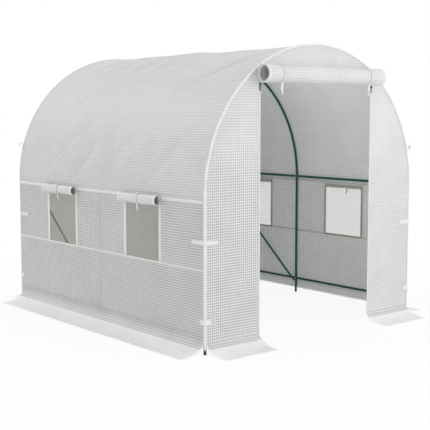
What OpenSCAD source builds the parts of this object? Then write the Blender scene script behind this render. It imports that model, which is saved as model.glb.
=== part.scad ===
// Walk-in polytunnel greenhouse: a green tube frame of three hoops under a white grid-cloth cover.
// The tunnel runs along Y, with its open door at -Y. The origin is on the ground, under the middle.
// Lengths are in millimetres.

/* [Tunnel] */
// Outside width over the cover
tunnel_w = 2000; // [1800:10:2400]
// Outside length over the two end panels
tunnel_l = 2400; // [2200:10:3000]
// Height of the straight wall under the round roof
wall_h = 1000; // [940:10:1200]

/* [Frame] */
// Outside diameter of the hoop and rail tubes
tube_d = 19; // [16:0.5:25]
// Wall of the hoop and rail tubes
tube_wall = 1.2; // [0.8:0.1:2]
// Length of the swaged end that pushes into the next tube of a hoop
swage_l = 55; // [30:1:80]
// How far below the round roof the legs join the bows
joint_drop = 70; // [40:5:150]
// How far the ridge rails lie below the hoops' own line
ridge_drop = 11; // [0:1:14]
// Height of the bottom rails' axis above the ground
bottom_rail_z = 120; // [100:5:250]
// Outside diameter of the diagonal braces
brace_d = 16; // [12:0.5:19]
// Height of a brace's lower bolt on the middle leg
brace_foot_z = 95; // [40:5:140]
// Height of a brace's upper bolt above the side rail
brace_head_rise = 125; // [50:5:160]
// Length of the flattened tongue at each end of a brace
tongue_l = 55; // [40:1:80]
// Thickness of a brace's flattened tongue
tongue_t = 3; // [2:0.5:5]

/* [Cover] */
// Thickness of the cover cloth
cover_t = 2; // [1.5:0.1:3]
// Thickness of hems, seam bands, bindings, zips and straps
trim_t = 1.2; // [0.8:0.1:2]
// Width of the hem on each side of an arch's edge
hem_w = 15; // [10:1:40]
// Height of the hems' lower ends above the ground
hem_foot_z = 30; // [10:5:60]
// How far the upper seam lies below the round roof
upper_seam_drop = 26; // [20:1:60]
// Height of the window band, from seam to seam
window_band_h = 434; // [380:2:520]
// Width of the upper seam band
upper_seam_w = 20; // [12:1:30]
// Width of the lower seam band
lower_seam_w = 14; // [8:1:24]

/* [Skirt] */
// Radius of the flare from the wall to the ground
flare_r = 78; // [40:2:110]
// How far the skirt reaches out from the wall
skirt_reach = 190; // [150:5:300]

/* [Door] */
// Width of the doorway
door_w = 1066; // [900:2:1200]
// How far the door's head lies below the point where its side meets the arch
door_head_drop = 106; // [80:2:300]
// Outside radius of the rolled door
door_roll_r = 62; // [40:1:75]
// Height of the roll's middle above the door's head
door_roll_rise = 45; // [20:1:60]
// How far the roll passes the doorway on each side
door_roll_overhang = 30; // [10:1:60]
// Distance of each door tie from the middle
door_tie_x = 420; // [200:5:480]
// Width of the zip tape
zip_w = 13; // [10:1:40]
// Length of the zip pull
zip_pull_l = 45; // [25:1:70]

/* [Windows] */
// Width of a window
window_w = 380; // [300:2:440]
// Depth of the cloth above a window, up to the seam
window_head = 38; // [20:1:70]
// How far a window lies from its bay's middle, towards the middle hoop
window_shift = 69; // [0:1:90]
// Width of the binding beside a window
binding_w = 28; // [15:1:40]
// Lap of the screen over the window's edge
screen_lap = 14; // [8:1:20]
// Thickness of the insect screen
screen_t = 1; // [0.8:0.1:1.5]
// Outside radius of a rolled window flap
window_roll_r = 37; // [25:1:45]
// How far the roll's middle lies below the seam
window_roll_drop = 17; // [5:1:25]

/* [Rolls and ties] */
// Turns of cloth in a roll
roll_turns = 3; // [2:1:3]
// Air between the turns
roll_air = 1; // [0.6:0.1:1.5]
// Width of a tie
tie_w = 9; // [6:1:16]
// Length of a tie's hanging tail
tie_tail_l = 75; // [30:5:120]

/* [Corner straps and guy loops] */
// Height of the long straps' middle above the ground
long_strap_z = 717; // [600:1:760]
// Height of the short straps' middle above the ground
short_strap_z = 208; // [180:1:300]
// Length of a long strap along the side wall
long_strap_side = 130; // [60:5:180]
// Length of a long strap along the end panel
long_strap_end = 110; // [60:5:160]
// Length of a short strap along each face
short_strap_l = 50; // [40:1:90]
// Width of a long strap
long_strap_w = 25; // [15:1:40]
// Width of a short strap
short_strap_w = 38; // [20:1:50]
// Angle of the guy loops above the round roof's foot
guy_angle = 15.7; // [8:0.1:40]
// Reach of a guy loop out from the hem
guy_reach = 40; // [25:1:60]
// Width of a guy loop along the hem
guy_w = 28; // [22:1:36]
// Thickness of a guy loop's webbing
guy_t = 2.5; // [1.5:0.1:4]

/* [Hidden] */
$fn = 72;
// Clearance between pieces that seat on each other
seat_gap = 0.3;
// Angle of one of the three bows that make a hoop
bow_angle = 60;
// Steps in a full turn of the round roof
arch_steps = 240;
// Steps in one turn of a roll
roll_steps = 24;
// A cut's reach past the piece that it trims
past = 5;
half_w = tunnel_w / 2;
half_l = tunnel_l / 2;
tube_r = tube_d / 2;
bore_r = tube_r - tube_wall;
swage_r = bore_r - seat_gap;
brace_r = brace_d / 2;
// Hoops: radius of the bows' axis, and distance of an end hoop's axis from the middle
hoop_r = half_w - cover_t - seat_gap - tube_r;
hoop_y = half_l - cover_t - seat_gap - tube_r;
joint_z = wall_h - joint_drop;
// Joints between bows: half the clearance, a swage's shoulder and its narrow end, as angles of the hoop
degrees_per_mm = 180 / PI / hoop_r;
joint_angle = seat_gap / 2 * degrees_per_mm;
shoulder_angle = tube_wall * degrees_per_mm;
swage_angle = swage_l * degrees_per_mm;
ridge_z = wall_h + hoop_r - ridge_drop;
// Cover: heights of the seams, and the window openings between them
skirt_top = flare_r + cover_t;
// The skirts stop beside the hems
skirt_inset = hem_w + seat_gap;
upper_seam_z = wall_h - upper_seam_drop;
lower_seam_z = upper_seam_z - window_band_h;
sill_z = lower_seam_z + lower_seam_w / 2;
window_h = upper_seam_z - window_head - sill_z;
window_y = hoop_y / 2 - window_shift;
window_ys = [-window_y, window_y];
// Door: its side meets the arch at door_corner_z
door_corner_z = wall_h + sqrt(half_w * half_w - door_w * door_w / 4);
door_head_z = door_corner_z - door_head_drop;
door_roll_z = door_head_z + door_roll_rise;
door_roll_l = door_w + 2 * door_roll_overhang;
// Rolls stand off the cloth by the trim that lies behind them
roll_off = trim_t + seat_gap;
tie_t = trim_t - seat_gap;
window_roll_z = upper_seam_z - window_roll_drop;
window_roll_l = window_w + 2 * binding_w;
zip_pull_w = 8;
zip_pull_t = 3;
// Colours
frame_green = [0.02, 0.25, 0.21];
cloth_white = [0.90, 0.91, 0.90];
trim_white = [0.97, 0.97, 0.96];
screen_grey = [0.62, 0.64, 0.60];
zip_black = [0.12, 0.12, 0.12];

// Helpers

// Carries a drawing in (x, z) along Y, centred
module along_y(l) {
    rotate([90, 0, 0])
        linear_extrude(l, center = true)
            children();
}

// Carries a drawing in (y, z) along X, centred
module along_x(l) {
    rotate([90, 0, 90])
        linear_extrude(l, center = true)
            children();
}

// Puts a left-hand piece on the right as well
module right_too() {
    children();
    mirror([1, 0, 0])
        children();
}

// Puts a front piece at the rear as well
module rear_too() {
    children();
    mirror([0, 1, 0])
        children();
}

// Outline of the tunnel's cross-section, from base_z up
module arch_outline(r, base_z) {
    translate([-r, base_z])
        square([2 * r, wall_h - base_z]);
    intersection() {
        translate([0, wall_h])
            circle(r, $fn = arch_steps);
        translate([-r, wall_h])
            square([2 * r, r]);
    }
}

// Frame

// Section of a tube
module ring(r, hole_r) {
    difference() {
        circle(r);
        circle(hole_r);
    }
}

module leg_pair(y) {
    color(frame_green)
        for (side = [-1, 1])
            translate([side * hoop_r, y, 0])
                linear_extrude(joint_z - seat_gap)
                    ring(tube_r, bore_r);
}

// Stretch of a bow's tube between two angles above the round roof's foot
module bow_tube(start, end, r, hole_r) {
    translate([0, 0, wall_h])
        rotate([90, 0, 0])
            rotate([0, 0, start])
                rotate_extrude(angle = end - start)
                    translate([hoop_r, 0])
                        ring(r, hole_r);
}

// A side bow runs straight down to its leg below the round roof. Both its ends are swaged:
// a shoulder, then a narrower end that pushes into the leg or the top bow.
module side_bow() {
    end = bow_angle - joint_angle;
    bow_tube(0, end, tube_r, bore_r);
    bow_tube(end - shoulder_angle, end, tube_r - tube_wall / 2, swage_r - tube_wall / 2);
    bow_tube(end - shoulder_angle, end + swage_angle, swage_r, swage_r - tube_wall);
    translate([hoop_r, 0, joint_z]) {
        linear_extrude(joint_drop)
            ring(tube_r, bore_r);
        linear_extrude(tube_wall)
            ring(tube_r - tube_wall / 2, swage_r - tube_wall / 2);
        translate([0, 0, -swage_l])
            linear_extrude(swage_l + tube_wall)
                ring(swage_r, swage_r - tube_wall);
    }
}

module hoop_bows(y) {
    color(frame_green)
        translate([0, y, 0]) {
            right_too()
                side_bow();
            bow_tube(bow_angle + joint_angle, 180 - bow_angle - joint_angle, tube_r, bore_r);
        }
}

// Two rails in line, one to a bay, with ends coped round the hoops' tubes, which lie hoop_rise above them
module rail_pair(x, z, hoop_tube_turn, hoop_rise = 0) {
    color(frame_green)
        for (bay = [-1, 1])
            translate([x, bay * hoop_y / 2, z])
                difference() {
                    along_y(hoop_y - seat_gap)
                        ring(tube_r, bore_r);
                    for (end = [-1, 1])
                        translate([0, end * hoop_y / 2, hoop_rise])
                            rotate(hoop_tube_turn)
                                cylinder(h = 2 * tube_d, r = tube_r + seat_gap, center = true);
                }
}

module ridge_rails() {
    rail_pair(0, ridge_z, [0, 90, 0], ridge_drop);
}

module side_rails(side) {
    rail_pair(side * hoop_r, wall_h, [0, 0, 0]);
}

module bottom_rails(side) {
    rail_pair(side * hoop_r, bottom_rail_z, [0, 0, 0]);
}

// Distance of the hoops' inner face from the middle, at a height
function hoop_inside(z) =
    z <= wall_h ? hoop_r - tube_r : sqrt(pow(hoop_r - tube_r, 2) - pow(z - wall_h, 2));

// The flattened end of a brace: a round-ended tongue, and the taper that runs into the tube
module brace_end() {
    taper_l = tongue_l / 2;
    disc_t = 0.5;
    translate([0, brace_r - tongue_t / 2, 0]) {
        rotate([90, 0, 0])
            cylinder(h = tongue_t, r = brace_r, center = true);
        translate([0, 0, tongue_l / 2])
            cube([brace_d, tongue_t, tongue_l], center = true);
    }
    hull() {
        translate([0, brace_r - tongue_t / 2, tongue_l - disc_t / 2])
            cube([brace_d, tongue_t, disc_t], center = true);
        translate([0, 0, tongue_l + taper_l])
            cylinder(h = disc_t, r = brace_r, $fn = 32);
    }
}

// A brace from the middle leg's foot to the rear hoop, just above the side rail
module diagonal_brace() {
    head_z = wall_h + brace_head_rise;
    stand_in = seat_gap + brace_r;
    foot = [-(hoop_inside(brace_foot_z) - stand_in), 0, brace_foot_z];
    head = [-(hoop_inside(head_z) - stand_in), hoop_y, head_z];
    run = head - foot;
    length = norm(run);
    tube_start = tongue_l * 1.5;
    translate(foot)
        rotate([0, acos(run[2] / length), atan2(run[1], run[0])]) {
            brace_end();
            translate([0, 0, length])
                mirror([0, 0, 1])
                    brace_end();
            translate([0, 0, tube_start])
                cylinder(h = length - 2 * tube_start, r = brace_r);
        }
}

module diagonal_braces() {
    color(frame_green)
        right_too()
            diagonal_brace();
}

// Cover

module roof_sheet() {
    color(cloth_white)
        along_y(tunnel_l - 2 * cover_t)
            difference() {
                arch_outline(half_w, upper_seam_z);
                arch_outline(half_w - cover_t, upper_seam_z - past);
            }
}

// Plain strip of side wall between two heights
module wall_strip(low_z, high_z) {
    translate([-half_w, -half_l + cover_t, low_z])
        cube([cover_t, tunnel_l - 2 * cover_t, high_z - low_z]);
}

module window_band() {
    color(cloth_white)
        difference() {
            wall_strip(lower_seam_z, upper_seam_z);
            for (y = window_ys)
                translate([-half_w - past, y - window_w / 2, sill_z])
                    cube([cover_t + 2 * past, window_w, window_h]);
        }
}

module lower_wall() {
    color(cloth_white)
        wall_strip(skirt_top, lower_seam_z);
}

// Section of a skirt, outwards from the wall's face: a quarter-round flare, then a flat lip
module skirt_section() {
    translate([flare_r, flare_r + cover_t])
        intersection() {
            difference() {
                circle(flare_r + cover_t);
                circle(flare_r);
            }
            translate([-flare_r - cover_t, -flare_r - cover_t])
                square(flare_r + cover_t);
        }
    translate([flare_r, 0])
        square([skirt_reach - flare_r, cover_t]);
}

module side_skirt() {
    color(cloth_white)
        along_y(tunnel_l - 2 * skirt_inset)
            translate([-half_w, 0])
                mirror([1, 0])
                    skirt_section();
}

// Skirt across an end, between two places along X
module end_skirt(x0, x1) {
    translate([(x0 + x1) / 2, 0, 0])
        along_x(x1 - x0)
            translate([-half_l, 0])
                mirror([1, 0])
                    skirt_section();
}

module front_skirts() {
    color(cloth_white)
        right_too()
            end_skirt(-half_w + skirt_inset, -door_w / 2);
}

module back_skirt() {
    color(cloth_white)
        mirror([0, 1, 0])
            end_skirt(-half_w + skirt_inset, half_w - skirt_inset);
}

// End panel cut to a range of X and from a height up
module end_panel(x0, x1, base_z) {
    color(cloth_white)
        translate([0, -half_l + cover_t / 2, 0])
            along_y(cover_t)
                intersection() {
                    arch_outline(half_w, skirt_top);
                    translate([x0, base_z])
                        square([x1 - x0, wall_h + half_w]);
                }
}

module front_side_panel() {
    end_panel(-half_w, -door_w / 2, skirt_top);
}

module front_gable() {
    end_panel(-door_w / 2, door_w / 2, door_head_z);
}

module back_panel() {
    mirror([0, 1, 0])
        end_panel(-half_w, half_w, skirt_top);
}

// Trim sewn to the cover

// Hem round an arch's edge: a face band on the end panel, and its return over the roof and walls
module arch_hem() {
    color(trim_white) {
        translate([0, -half_l - trim_t / 2, 0])
            along_y(trim_t)
                difference() {
                    arch_outline(half_w + trim_t, hem_foot_z);
                    arch_outline(half_w - hem_w, hem_foot_z - past);
                }
        translate([0, -half_l + hem_w / 2, 0])
            along_y(hem_w)
                difference() {
                    arch_outline(half_w + trim_t, hem_foot_z);
                    arch_outline(half_w, hem_foot_z - past);
                }
    }
}

module seam_bands() {
    color(trim_white)
        for (band = [[upper_seam_z, upper_seam_w], [lower_seam_z, lower_seam_w]])
            translate([-half_w - trim_t, -half_l + hem_w, band[0] - band[1] / 2])
                cube([trim_t, tunnel_l - 2 * hem_w, band[1]]);
}

// Strap bent round a corner over the hem, long_end along the end panel and long_side along the wall
module corner_strap(z, strap_w, end_l, side_l) {
    color(trim_white)
        translate([-half_w, -half_l, z - strap_w / 2])
            linear_extrude(strap_w)
                difference() {
                    union() {
                        translate([-2 * trim_t, -2 * trim_t])
                            square([end_l + 2 * trim_t, 2 * trim_t]);
                        translate([-2 * trim_t, -2 * trim_t])
                            square([2 * trim_t, side_l + 2 * trim_t]);
                    }
                    translate([-trim_t, -trim_t])
                        square([hem_w + trim_t, trim_t]);
                    translate([-trim_t, -trim_t])
                        square([trim_t, hem_w + trim_t]);
                }
}

module long_corner_straps() {
    right_too()
        rear_too()
            corner_strap(long_strap_z, long_strap_w, long_strap_end, long_strap_side);
}

module short_corner_straps() {
    right_too()
        rear_too()
            corner_strap(short_strap_z, short_strap_w, short_strap_l, short_strap_l);
}

// Round-ended outline, long way up
module slot_outline(w, l) {
    square([w, l - w], center = true);
    for (end = [-1, 1])
        translate([0, end * (l - w) / 2])
            circle(w / 2);
}

// Outline that runs straight out from the hem to a round end
module tongue_outline(w, l) {
    translate([0, -w / 2])
        square([l - w / 2, w]);
    translate([l - w / 2, 0])
        circle(w / 2);
}

// Webbing loop whose two ends stand on the hem, for a guy rope
module guy_loop() {
    color(trim_white)
        translate([0, -half_l + hem_w / 2, wall_h])
            along_y(hem_w)
                rotate(180 - guy_angle)
                    translate([half_w + trim_t + seat_gap, 0])
                        difference() {
                            tongue_outline(guy_w, guy_reach);
                            translate([-past, 0])
                                tongue_outline(guy_w - 2 * guy_t, guy_reach - guy_t + past);
                        }
}

module guy_loops() {
    right_too()
        rear_too()
            guy_loop();
}

// Rolled flaps and their ties, drawn outwards from the cloth behind them

// Section of a rolled flap: it hangs from its sewn edge and winds outwards and up
module roll_section(r, tail_l) {
    pitch = cover_t + roll_air;
    last = roll_turns * roll_steps;
    function winding(i, depth) =
        let (a = 180 + 360 * i / roll_steps, d = r - depth - pitch * i / roll_steps)
        [d * cos(a), d * sin(a)];
    translate([roll_off + r, 0]) {
        polygon([
            for (i = [0 : last]) winding(i, 0),
            for (i = [last : -1 : 0]) winding(i, cover_t)
        ]);
        translate([-r, 0])
            square([cover_t, tail_l]);
    }
}

// Section of a tie: round the roll from its top, over the front, to the sewn end behind it
module tie_section(r) {
    inner = r + seat_gap;
    outer = inner + tie_t;
    translate([roll_off + r, 0]) {
        difference() {
            circle(outer);
            circle(inner);
            translate([-2 * outer, 0])
                square(2 * outer);
        }
        translate([0, -inner - tie_t - tie_tail_l])
            square([tie_t, tie_tail_l + tie_t / 2]);
    }
}

module window_rolls() {
    color(cloth_white)
        for (y = window_ys)
            translate([-half_w, y, window_roll_z])
                along_y(window_roll_l)
                    mirror([1, 0])
                        roll_section(window_roll_r, window_roll_drop + upper_seam_w / 2);
}

module window_ties() {
    color(trim_white)
        for (y = window_ys)
            translate([-half_w, y, window_roll_z])
                along_y(tie_w)
                    mirror([1, 0])
                        tie_section(window_roll_r);
}

module door_roll() {
    color(cloth_white)
        translate([0, -half_l, door_roll_z])
            along_x(door_roll_l)
                mirror([1, 0])
                    roll_section(door_roll_r, door_roll_r);
}

module door_ties() {
    color(trim_white)
        right_too()
            translate([-door_tie_x, -half_l, door_roll_z])
                along_x(tie_w)
                    mirror([1, 0])
                        tie_section(door_roll_r);
}

// Windows and door edges

module window_screens() {
    color(screen_grey)
        for (y = window_ys)
            translate([-half_w + cover_t, y - window_w / 2 - screen_lap, sill_z - screen_lap])
                cube([screen_t, window_w + 2 * screen_lap, window_h + 2 * screen_lap]);
}

module window_bindings() {
    low = sill_z;
    high = upper_seam_z - upper_seam_w / 2;
    color(trim_white)
        for (y = window_ys, side = [-1, 1])
            translate([-half_w - trim_t, y + side * (window_w + binding_w) / 2 - binding_w / 2, low])
                cube([trim_t, binding_w, high - low]);
}

module door_zips() {
    color(trim_white)
        right_too()
            translate([-door_w / 2 - zip_w, -half_l - trim_t, skirt_top])
                cube([zip_w, trim_t, door_head_z - skirt_top]);
}

// Pulls parked at the top of the zips, just under the roll
module zip_pulls() {
    pull_z = door_roll_z - door_roll_r - zip_pull_l - past;
    color(zip_black)
        right_too()
            translate([-door_w / 2 - zip_w / 2, -half_l - trim_t - zip_pull_t / 2, pull_z + zip_pull_l / 2])
                along_y(zip_pull_t)
                    slot_outline(zip_pull_w, zip_pull_l);
}

module on_right() {
    mirror([1, 0, 0])
        children();
}

leg_pair(-hoop_y);  // front_legs
leg_pair(0);  // middle_legs
leg_pair(hoop_y);  // rear_legs
hoop_bows(-hoop_y);  // front_bows
hoop_bows(0);  // middle_bows
hoop_bows(hoop_y);  // rear_bows
ridge_rails();
side_rails(-1);  // left_side_rails
side_rails(1);  // right_side_rails
bottom_rails(-1);  // left_bottom_rails
bottom_rails(1);  // right_bottom_rails
diagonal_braces();
roof_sheet();
window_band();  // left_window_band
on_right() window_band();  // right_window_band
lower_wall();  // left_lower_wall
on_right() lower_wall();  // right_lower_wall
side_skirt();  // left_skirt
on_right() side_skirt();  // right_skirt
front_side_panel();  // front_left_panel
on_right() front_side_panel();  // front_right_panel
front_gable();
front_skirts();
back_panel();
back_skirt();
window_screens();  // left_window_screens
on_right() window_screens();  // right_window_screens
window_bindings();  // left_window_bindings
on_right() window_bindings();  // right_window_bindings
window_rolls();  // left_window_rolls
on_right() window_rolls();  // right_window_rolls
window_ties();  // left_window_ties
on_right() window_ties();  // right_window_ties
seam_bands();  // left_seam_bands
on_right() seam_bands();  // right_seam_bands
door_roll();
door_ties();
door_zips();
zip_pulls();
arch_hem();  // front_arch_hem
mirror([0, 1, 0]) arch_hem();  // back_arch_hem
long_corner_straps();
short_corner_straps();
guy_loops();
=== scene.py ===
"""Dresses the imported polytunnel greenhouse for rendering.

The tube frame and the zip pulls keep their CAD solids. Every cloth, tape and screen is a surface
worked out with numpy, which lies where its CAD solid lies: film with a grid of threads, sewn trim,
rolled flaps and woven insect screens.

Lengths are in metres. X runs across the tunnel, Y along it from the door to the back, Z up.
"""

import logging
import math
from abc import ABC, abstractmethod
from dataclasses import dataclass
from enum import Enum
from functools import lru_cache
from typing import Iterator, Sequence

import bmesh
import bpy
import numpy as np
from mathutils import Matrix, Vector


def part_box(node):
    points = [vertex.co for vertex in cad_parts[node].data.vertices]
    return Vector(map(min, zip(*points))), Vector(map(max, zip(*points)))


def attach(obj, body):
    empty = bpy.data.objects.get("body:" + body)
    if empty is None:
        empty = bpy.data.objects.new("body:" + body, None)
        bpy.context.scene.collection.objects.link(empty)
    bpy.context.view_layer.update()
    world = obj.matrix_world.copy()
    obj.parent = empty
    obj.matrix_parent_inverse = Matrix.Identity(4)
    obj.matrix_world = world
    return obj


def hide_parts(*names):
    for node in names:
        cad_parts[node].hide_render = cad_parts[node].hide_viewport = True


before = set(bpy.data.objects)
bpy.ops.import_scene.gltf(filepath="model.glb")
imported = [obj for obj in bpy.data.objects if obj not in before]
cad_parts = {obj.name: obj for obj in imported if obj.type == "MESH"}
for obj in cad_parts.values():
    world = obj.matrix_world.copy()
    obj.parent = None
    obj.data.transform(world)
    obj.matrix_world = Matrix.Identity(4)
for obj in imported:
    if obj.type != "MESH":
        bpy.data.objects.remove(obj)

Array = np.ndarray
Colour = tuple[float, float, float]
Triple = tuple[float, float, float]
Span = tuple[float, float]
Socket = bpy.types.NodeSocket

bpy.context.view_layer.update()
BODY = "root"
LOG = logging.getLogger("polytunnel")
QUARTER = math.pi / 2
FULL_TURN = 2 * math.pi
ENDS = (-1, 1)  # sign of the distance from a middle at the two ends
ACROSS, ALONG, UP = np.eye(3)
TAPE_SEAT = 0.0004  # air between a tape's back and the film under it
TAPE_ROUND, TAPE_SHOULDER = 0.6, 0.45  # width and start of a tape's rounded edge, as shares of its thickness
TINY = 1e-12  # shortest length that a vector is divided by
MERGE_DISTANCE = 1e-6
UV_PER_RADIAN = 0.01  # cloth coordinate for each radian round a small turned part
ROOF_SEED, WALL_SEED, ROLL_SEED, DOOR_SEED, PANEL_SEED, SKIRT_SEED = 11, 30, 50, 71, 81, 91


class Slot(Enum):
    """Material slots of the record."""

    FRAME = "frame_paint"
    CLOTH = "grid_cloth"
    TAPE = "white_tape"
    SCREEN = "insect_screen"
    ZIP = "zip_pull"


class Side(Enum):
    """Long sides of the tunnel, with the sign of X on each."""

    LEFT = -1
    RIGHT = 1

    @property
    def word(self) -> str:
        """The side's name as the CAD nodes spell it."""
        return self.name.lower()


class Face(Enum):
    """Outer faces of the tunnel, each with the direction in X and Y that it looks in."""

    LEFT = (-1, 0)
    RIGHT = (1, 0)
    FRONT = (0, -1)
    BACK = (0, 1)

    @property
    def outward(self) -> Array:
        """Unit vector out of the face."""
        return np.array([*self.value, 0.0])

    @property
    def along(self) -> Array:
        """Unit vector along the face, level with the ground."""
        return ALONG if self.value[0] else ACROSS


@dataclass(frozen=True)
class Tunnel:
    """Main sizes of the tunnel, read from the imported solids."""

    half_width: float
    half_length: float
    wall_height: float
    upper_seam: float
    lower_seam: float
    skirt_top: float
    skirt_reach: float
    hem_foot: float
    door_half: float
    door_head: float
    tube_radius: float
    hoop_radius: float
    hoop_lines: tuple[float, float, float]
    window_width: float = 0.380
    window_shift: float = 0.069
    sill_rise: float = 0.007
    window_head: float = 0.038
    hem_width: float = 0.015
    bottom_rail: float = 0.120
    tape: float = 0.0012
    skirt_samples: int = 400

    @classmethod
    def from_frame(cls) -> "Tunnel":
        """Sizes worked out from the boxes of the CAD nodes."""
        roof_low, roof_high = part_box("roof_sheet")
        legs = [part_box(f"{name}_legs") for name in ("front", "middle", "rear")]
        tube = (legs[0][1].y - legs[0][0].y) / 2
        return cls(
            half_width=roof_high.x,
            half_length=-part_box("front_gable")[0].y,
            wall_height=roof_high.z - roof_high.x,
            upper_seam=roof_low.z,
            lower_seam=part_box("left_window_band")[0].z,
            skirt_top=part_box("left_lower_wall")[0].z,
            skirt_reach=-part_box("left_skirt")[0].x - roof_high.x,
            hem_foot=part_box("front_arch_hem")[0].z,
            door_half=-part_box("front_left_panel")[1].x,
            door_head=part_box("front_gable")[0].z,
            tube_radius=tube,
            hoop_radius=legs[0][1].x - tube,
            hoop_lines=tuple((low.y + high.y) / 2 for low, high in legs),
        )

    @property
    def cover_half(self) -> float:
        """Half the length of the roof and wall film, which ends just inside the end panels."""
        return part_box("roof_sheet")[1].y

    @property
    def window_sill(self) -> float:
        """Height of a window's lower edge."""
        return self.lower_seam + self.sill_rise

    @property
    def window_top(self) -> float:
        """Height of a window's upper edge."""
        return self.upper_seam - self.window_head

    @property
    def window_centres(self) -> tuple[float, float]:
        """Places of the two windows of a side along Y."""
        centre = self.hoop_lines[2] / 2 - self.window_shift
        return -centre, centre

    def skirt_at(self, angle: Array) -> tuple[Array, Array]:
        """Distance from the wall and height of the skirt, at angles round a quarter of an ellipse."""
        return self.skirt_reach * (1 - np.cos(angle)), self.skirt_top * (1 - np.sin(angle))

    @property
    def skirt_curve(self) -> tuple[Array, Array]:
        """Angles round the skirt's quarter of an ellipse, and the length of cloth from the wall to each."""
        angle = np.linspace(0, QUARTER, self.skirt_samples)
        return angle, length_along(stacked(*self.skirt_at(angle)))

    def wall_run(self, height: float | Array) -> float | Array:
        """Distance along the section from the crown down to a height on the straight wall."""
        return self.half_width * QUARTER + self.wall_height - height

    def section(self, run: Array) -> tuple[Array, Array, Array, Array]:
        """Point and outward normal of the cover's section.

        Within a quarter turn of the crown the section is an arc, sine and cosine of the run over
        the radius. Past it the wall drops straight down by the rest of the run.

        Args:
            run: Distance along the section from the crown, negative to the left.

        Returns:
            X, Z and the normal's X and Z, each in the shape of run.
        """
        angle = np.clip(run / self.half_width, -QUARTER, QUARTER)
        drop = np.maximum(np.abs(run) - self.half_width * QUARTER, 0.0)
        across, up = np.sin(angle), np.cos(angle)
        return self.half_width * across, self.wall_height + self.half_width * up - drop, across, up

    def place(self, face: Face, along: Array, out: Array, up: Array) -> Array:
        """Points from distances along a face, out of it and above the ground.

        Args:
            face: The face the points lie on.
            along: Distance from the face's middle, along X or Y.
            out: Distance outwards from the face.
            up: Height above the ground.

        Returns:
            Array of points, the last axis being X, Y, Z.
        """
        nx, ny = face.value
        x = nx * (self.half_width + out) if nx else along
        y = ny * (self.half_length + out) if ny else along
        return stacked(x, y, up)


def spaced(stops: Sequence[float], step: float) -> Array:
    """Rising values that pass through every stop, at most a step apart.

    Args:
        stops: Values that have to be hit, in order.
        step: Largest distance between neighbours.

    Returns:
        One array from the first stop to the last.
    """
    runs = [
        np.linspace(a, b, max(1, math.ceil(abs(b - a) / step)) + 1)[:-1]
        for a, b in zip(stops[:-1], stops[1:])
    ]
    return np.concatenate([*runs, [stops[-1]]])


def smooth_step(value: Array, low: float, high: float) -> Array:
    """0 below low, 1 above high, and three times the square less twice the cube between them."""
    t = np.clip((value - low) / (high - low), 0.0, 1.0)
    return t * t * (3 - 2 * t)


def stacked(*parts: Array) -> Array:
    """Arrays brought to one shape and laid side by side along a new last axis."""
    return np.stack(np.broadcast_arrays(*parts), axis=-1)


def unit(vectors: Array) -> Array:
    """Vectors divided by their own lengths."""
    return vectors / np.maximum(np.linalg.norm(vectors, axis=-1, keepdims=True), TINY)


def length_along(path: Array) -> Array:
    """Running length of a path of points, starting at 0."""
    steps = np.linalg.norm(np.diff(path, axis=0), axis=-1)
    return np.concatenate([[0.0], np.cumsum(steps)])


@dataclass
class Patch:
    """Surface on a grid of rows and columns.

    Attributes:
        points: Rows by columns by 3.
        uv: Rows by columns by 2, the cloth's own coordinates in metres.
        keep: Mask of the cells that are cloth, or None where all are.
    """

    points: Array
    uv: Array
    keep: Array | None = None

    def facing(self, outward: Array) -> "Patch":
        """The patch with its columns turned round if its faces look away from a direction.

        Args:
            outward: One direction, or one for each point.

        Returns:
            This patch, or its mirror image in columns.
        """
        rows = np.diff(self.points, axis=0)[:, :-1]
        columns = np.diff(self.points, axis=1)[:-1]
        way = np.broadcast_to(outward, self.points.shape)[:-1, :-1]
        if np.sum(np.cross(columns, rows) * way) >= 0:
            return self
        keep = None if self.keep is None else self.keep[:, ::-1]
        return Patch(self.points[:, ::-1], self.uv[:, ::-1], keep)

    def quads(self, first: int) -> Array:
        """Corner numbers of the kept cells, counted from a first vertex."""
        rows, columns = self.points.shape[:2]
        number = first + np.arange(rows * columns).reshape(rows, columns)
        cells = np.stack([number[:-1, :-1], number[:-1, 1:], number[1:, 1:], number[1:, :-1]], axis=-1)
        return (cells if self.keep is None else cells[self.keep]).reshape(-1, 4)


def sweep(path: Array, across: Array, normal: Array, profile: Array, uv_across: Array,
          scale: Array | None = None) -> Patch:
    """Profile carried along a path: path plus across times profile's first plus normal times its second.

    Args:
        path: Points of the path.
        across: Direction of the profile's first coordinate, one for each point or one for all.
        normal: Direction of its second coordinate, likewise.
        profile: Points of the profile, the last the same as the first where it is closed.
        uv_across: Cloth coordinate of each profile point.
        scale: Size of the profile at each path point, 1 where left out.

    Returns:
        Patch with a row for each path point.
    """
    across = np.broadcast_to(across, path.shape)[:, None]
    normal = np.broadcast_to(normal, path.shape)[:, None]
    size = np.ones(len(path)) if scale is None else scale
    ring = profile[None] * size[:, None, None]
    points = path[:, None] + across * ring[..., :1] + normal * ring[..., 1:]
    return Patch(points, stacked(length_along(path)[:, None], uv_across[None]))


def capped(path: Array, *ways: Array) -> tuple[Array, ...]:
    """Path with its end points doubled, so that a profile carried along it can be closed.

    Args:
        path: Points of the path.
        *ways: Directions, each one for every point or one for all.

    Returns:
        The longer path, the profile's size along it, 0 at both outer ends, and the directions along it.
    """
    rows = [0, *range(len(path)), -1]
    size = np.ones(len(rows))
    size[[0, -1]] = 0.0
    return path[rows], size, *(np.broadcast_to(way, path.shape)[rows] for way in ways)


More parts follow.
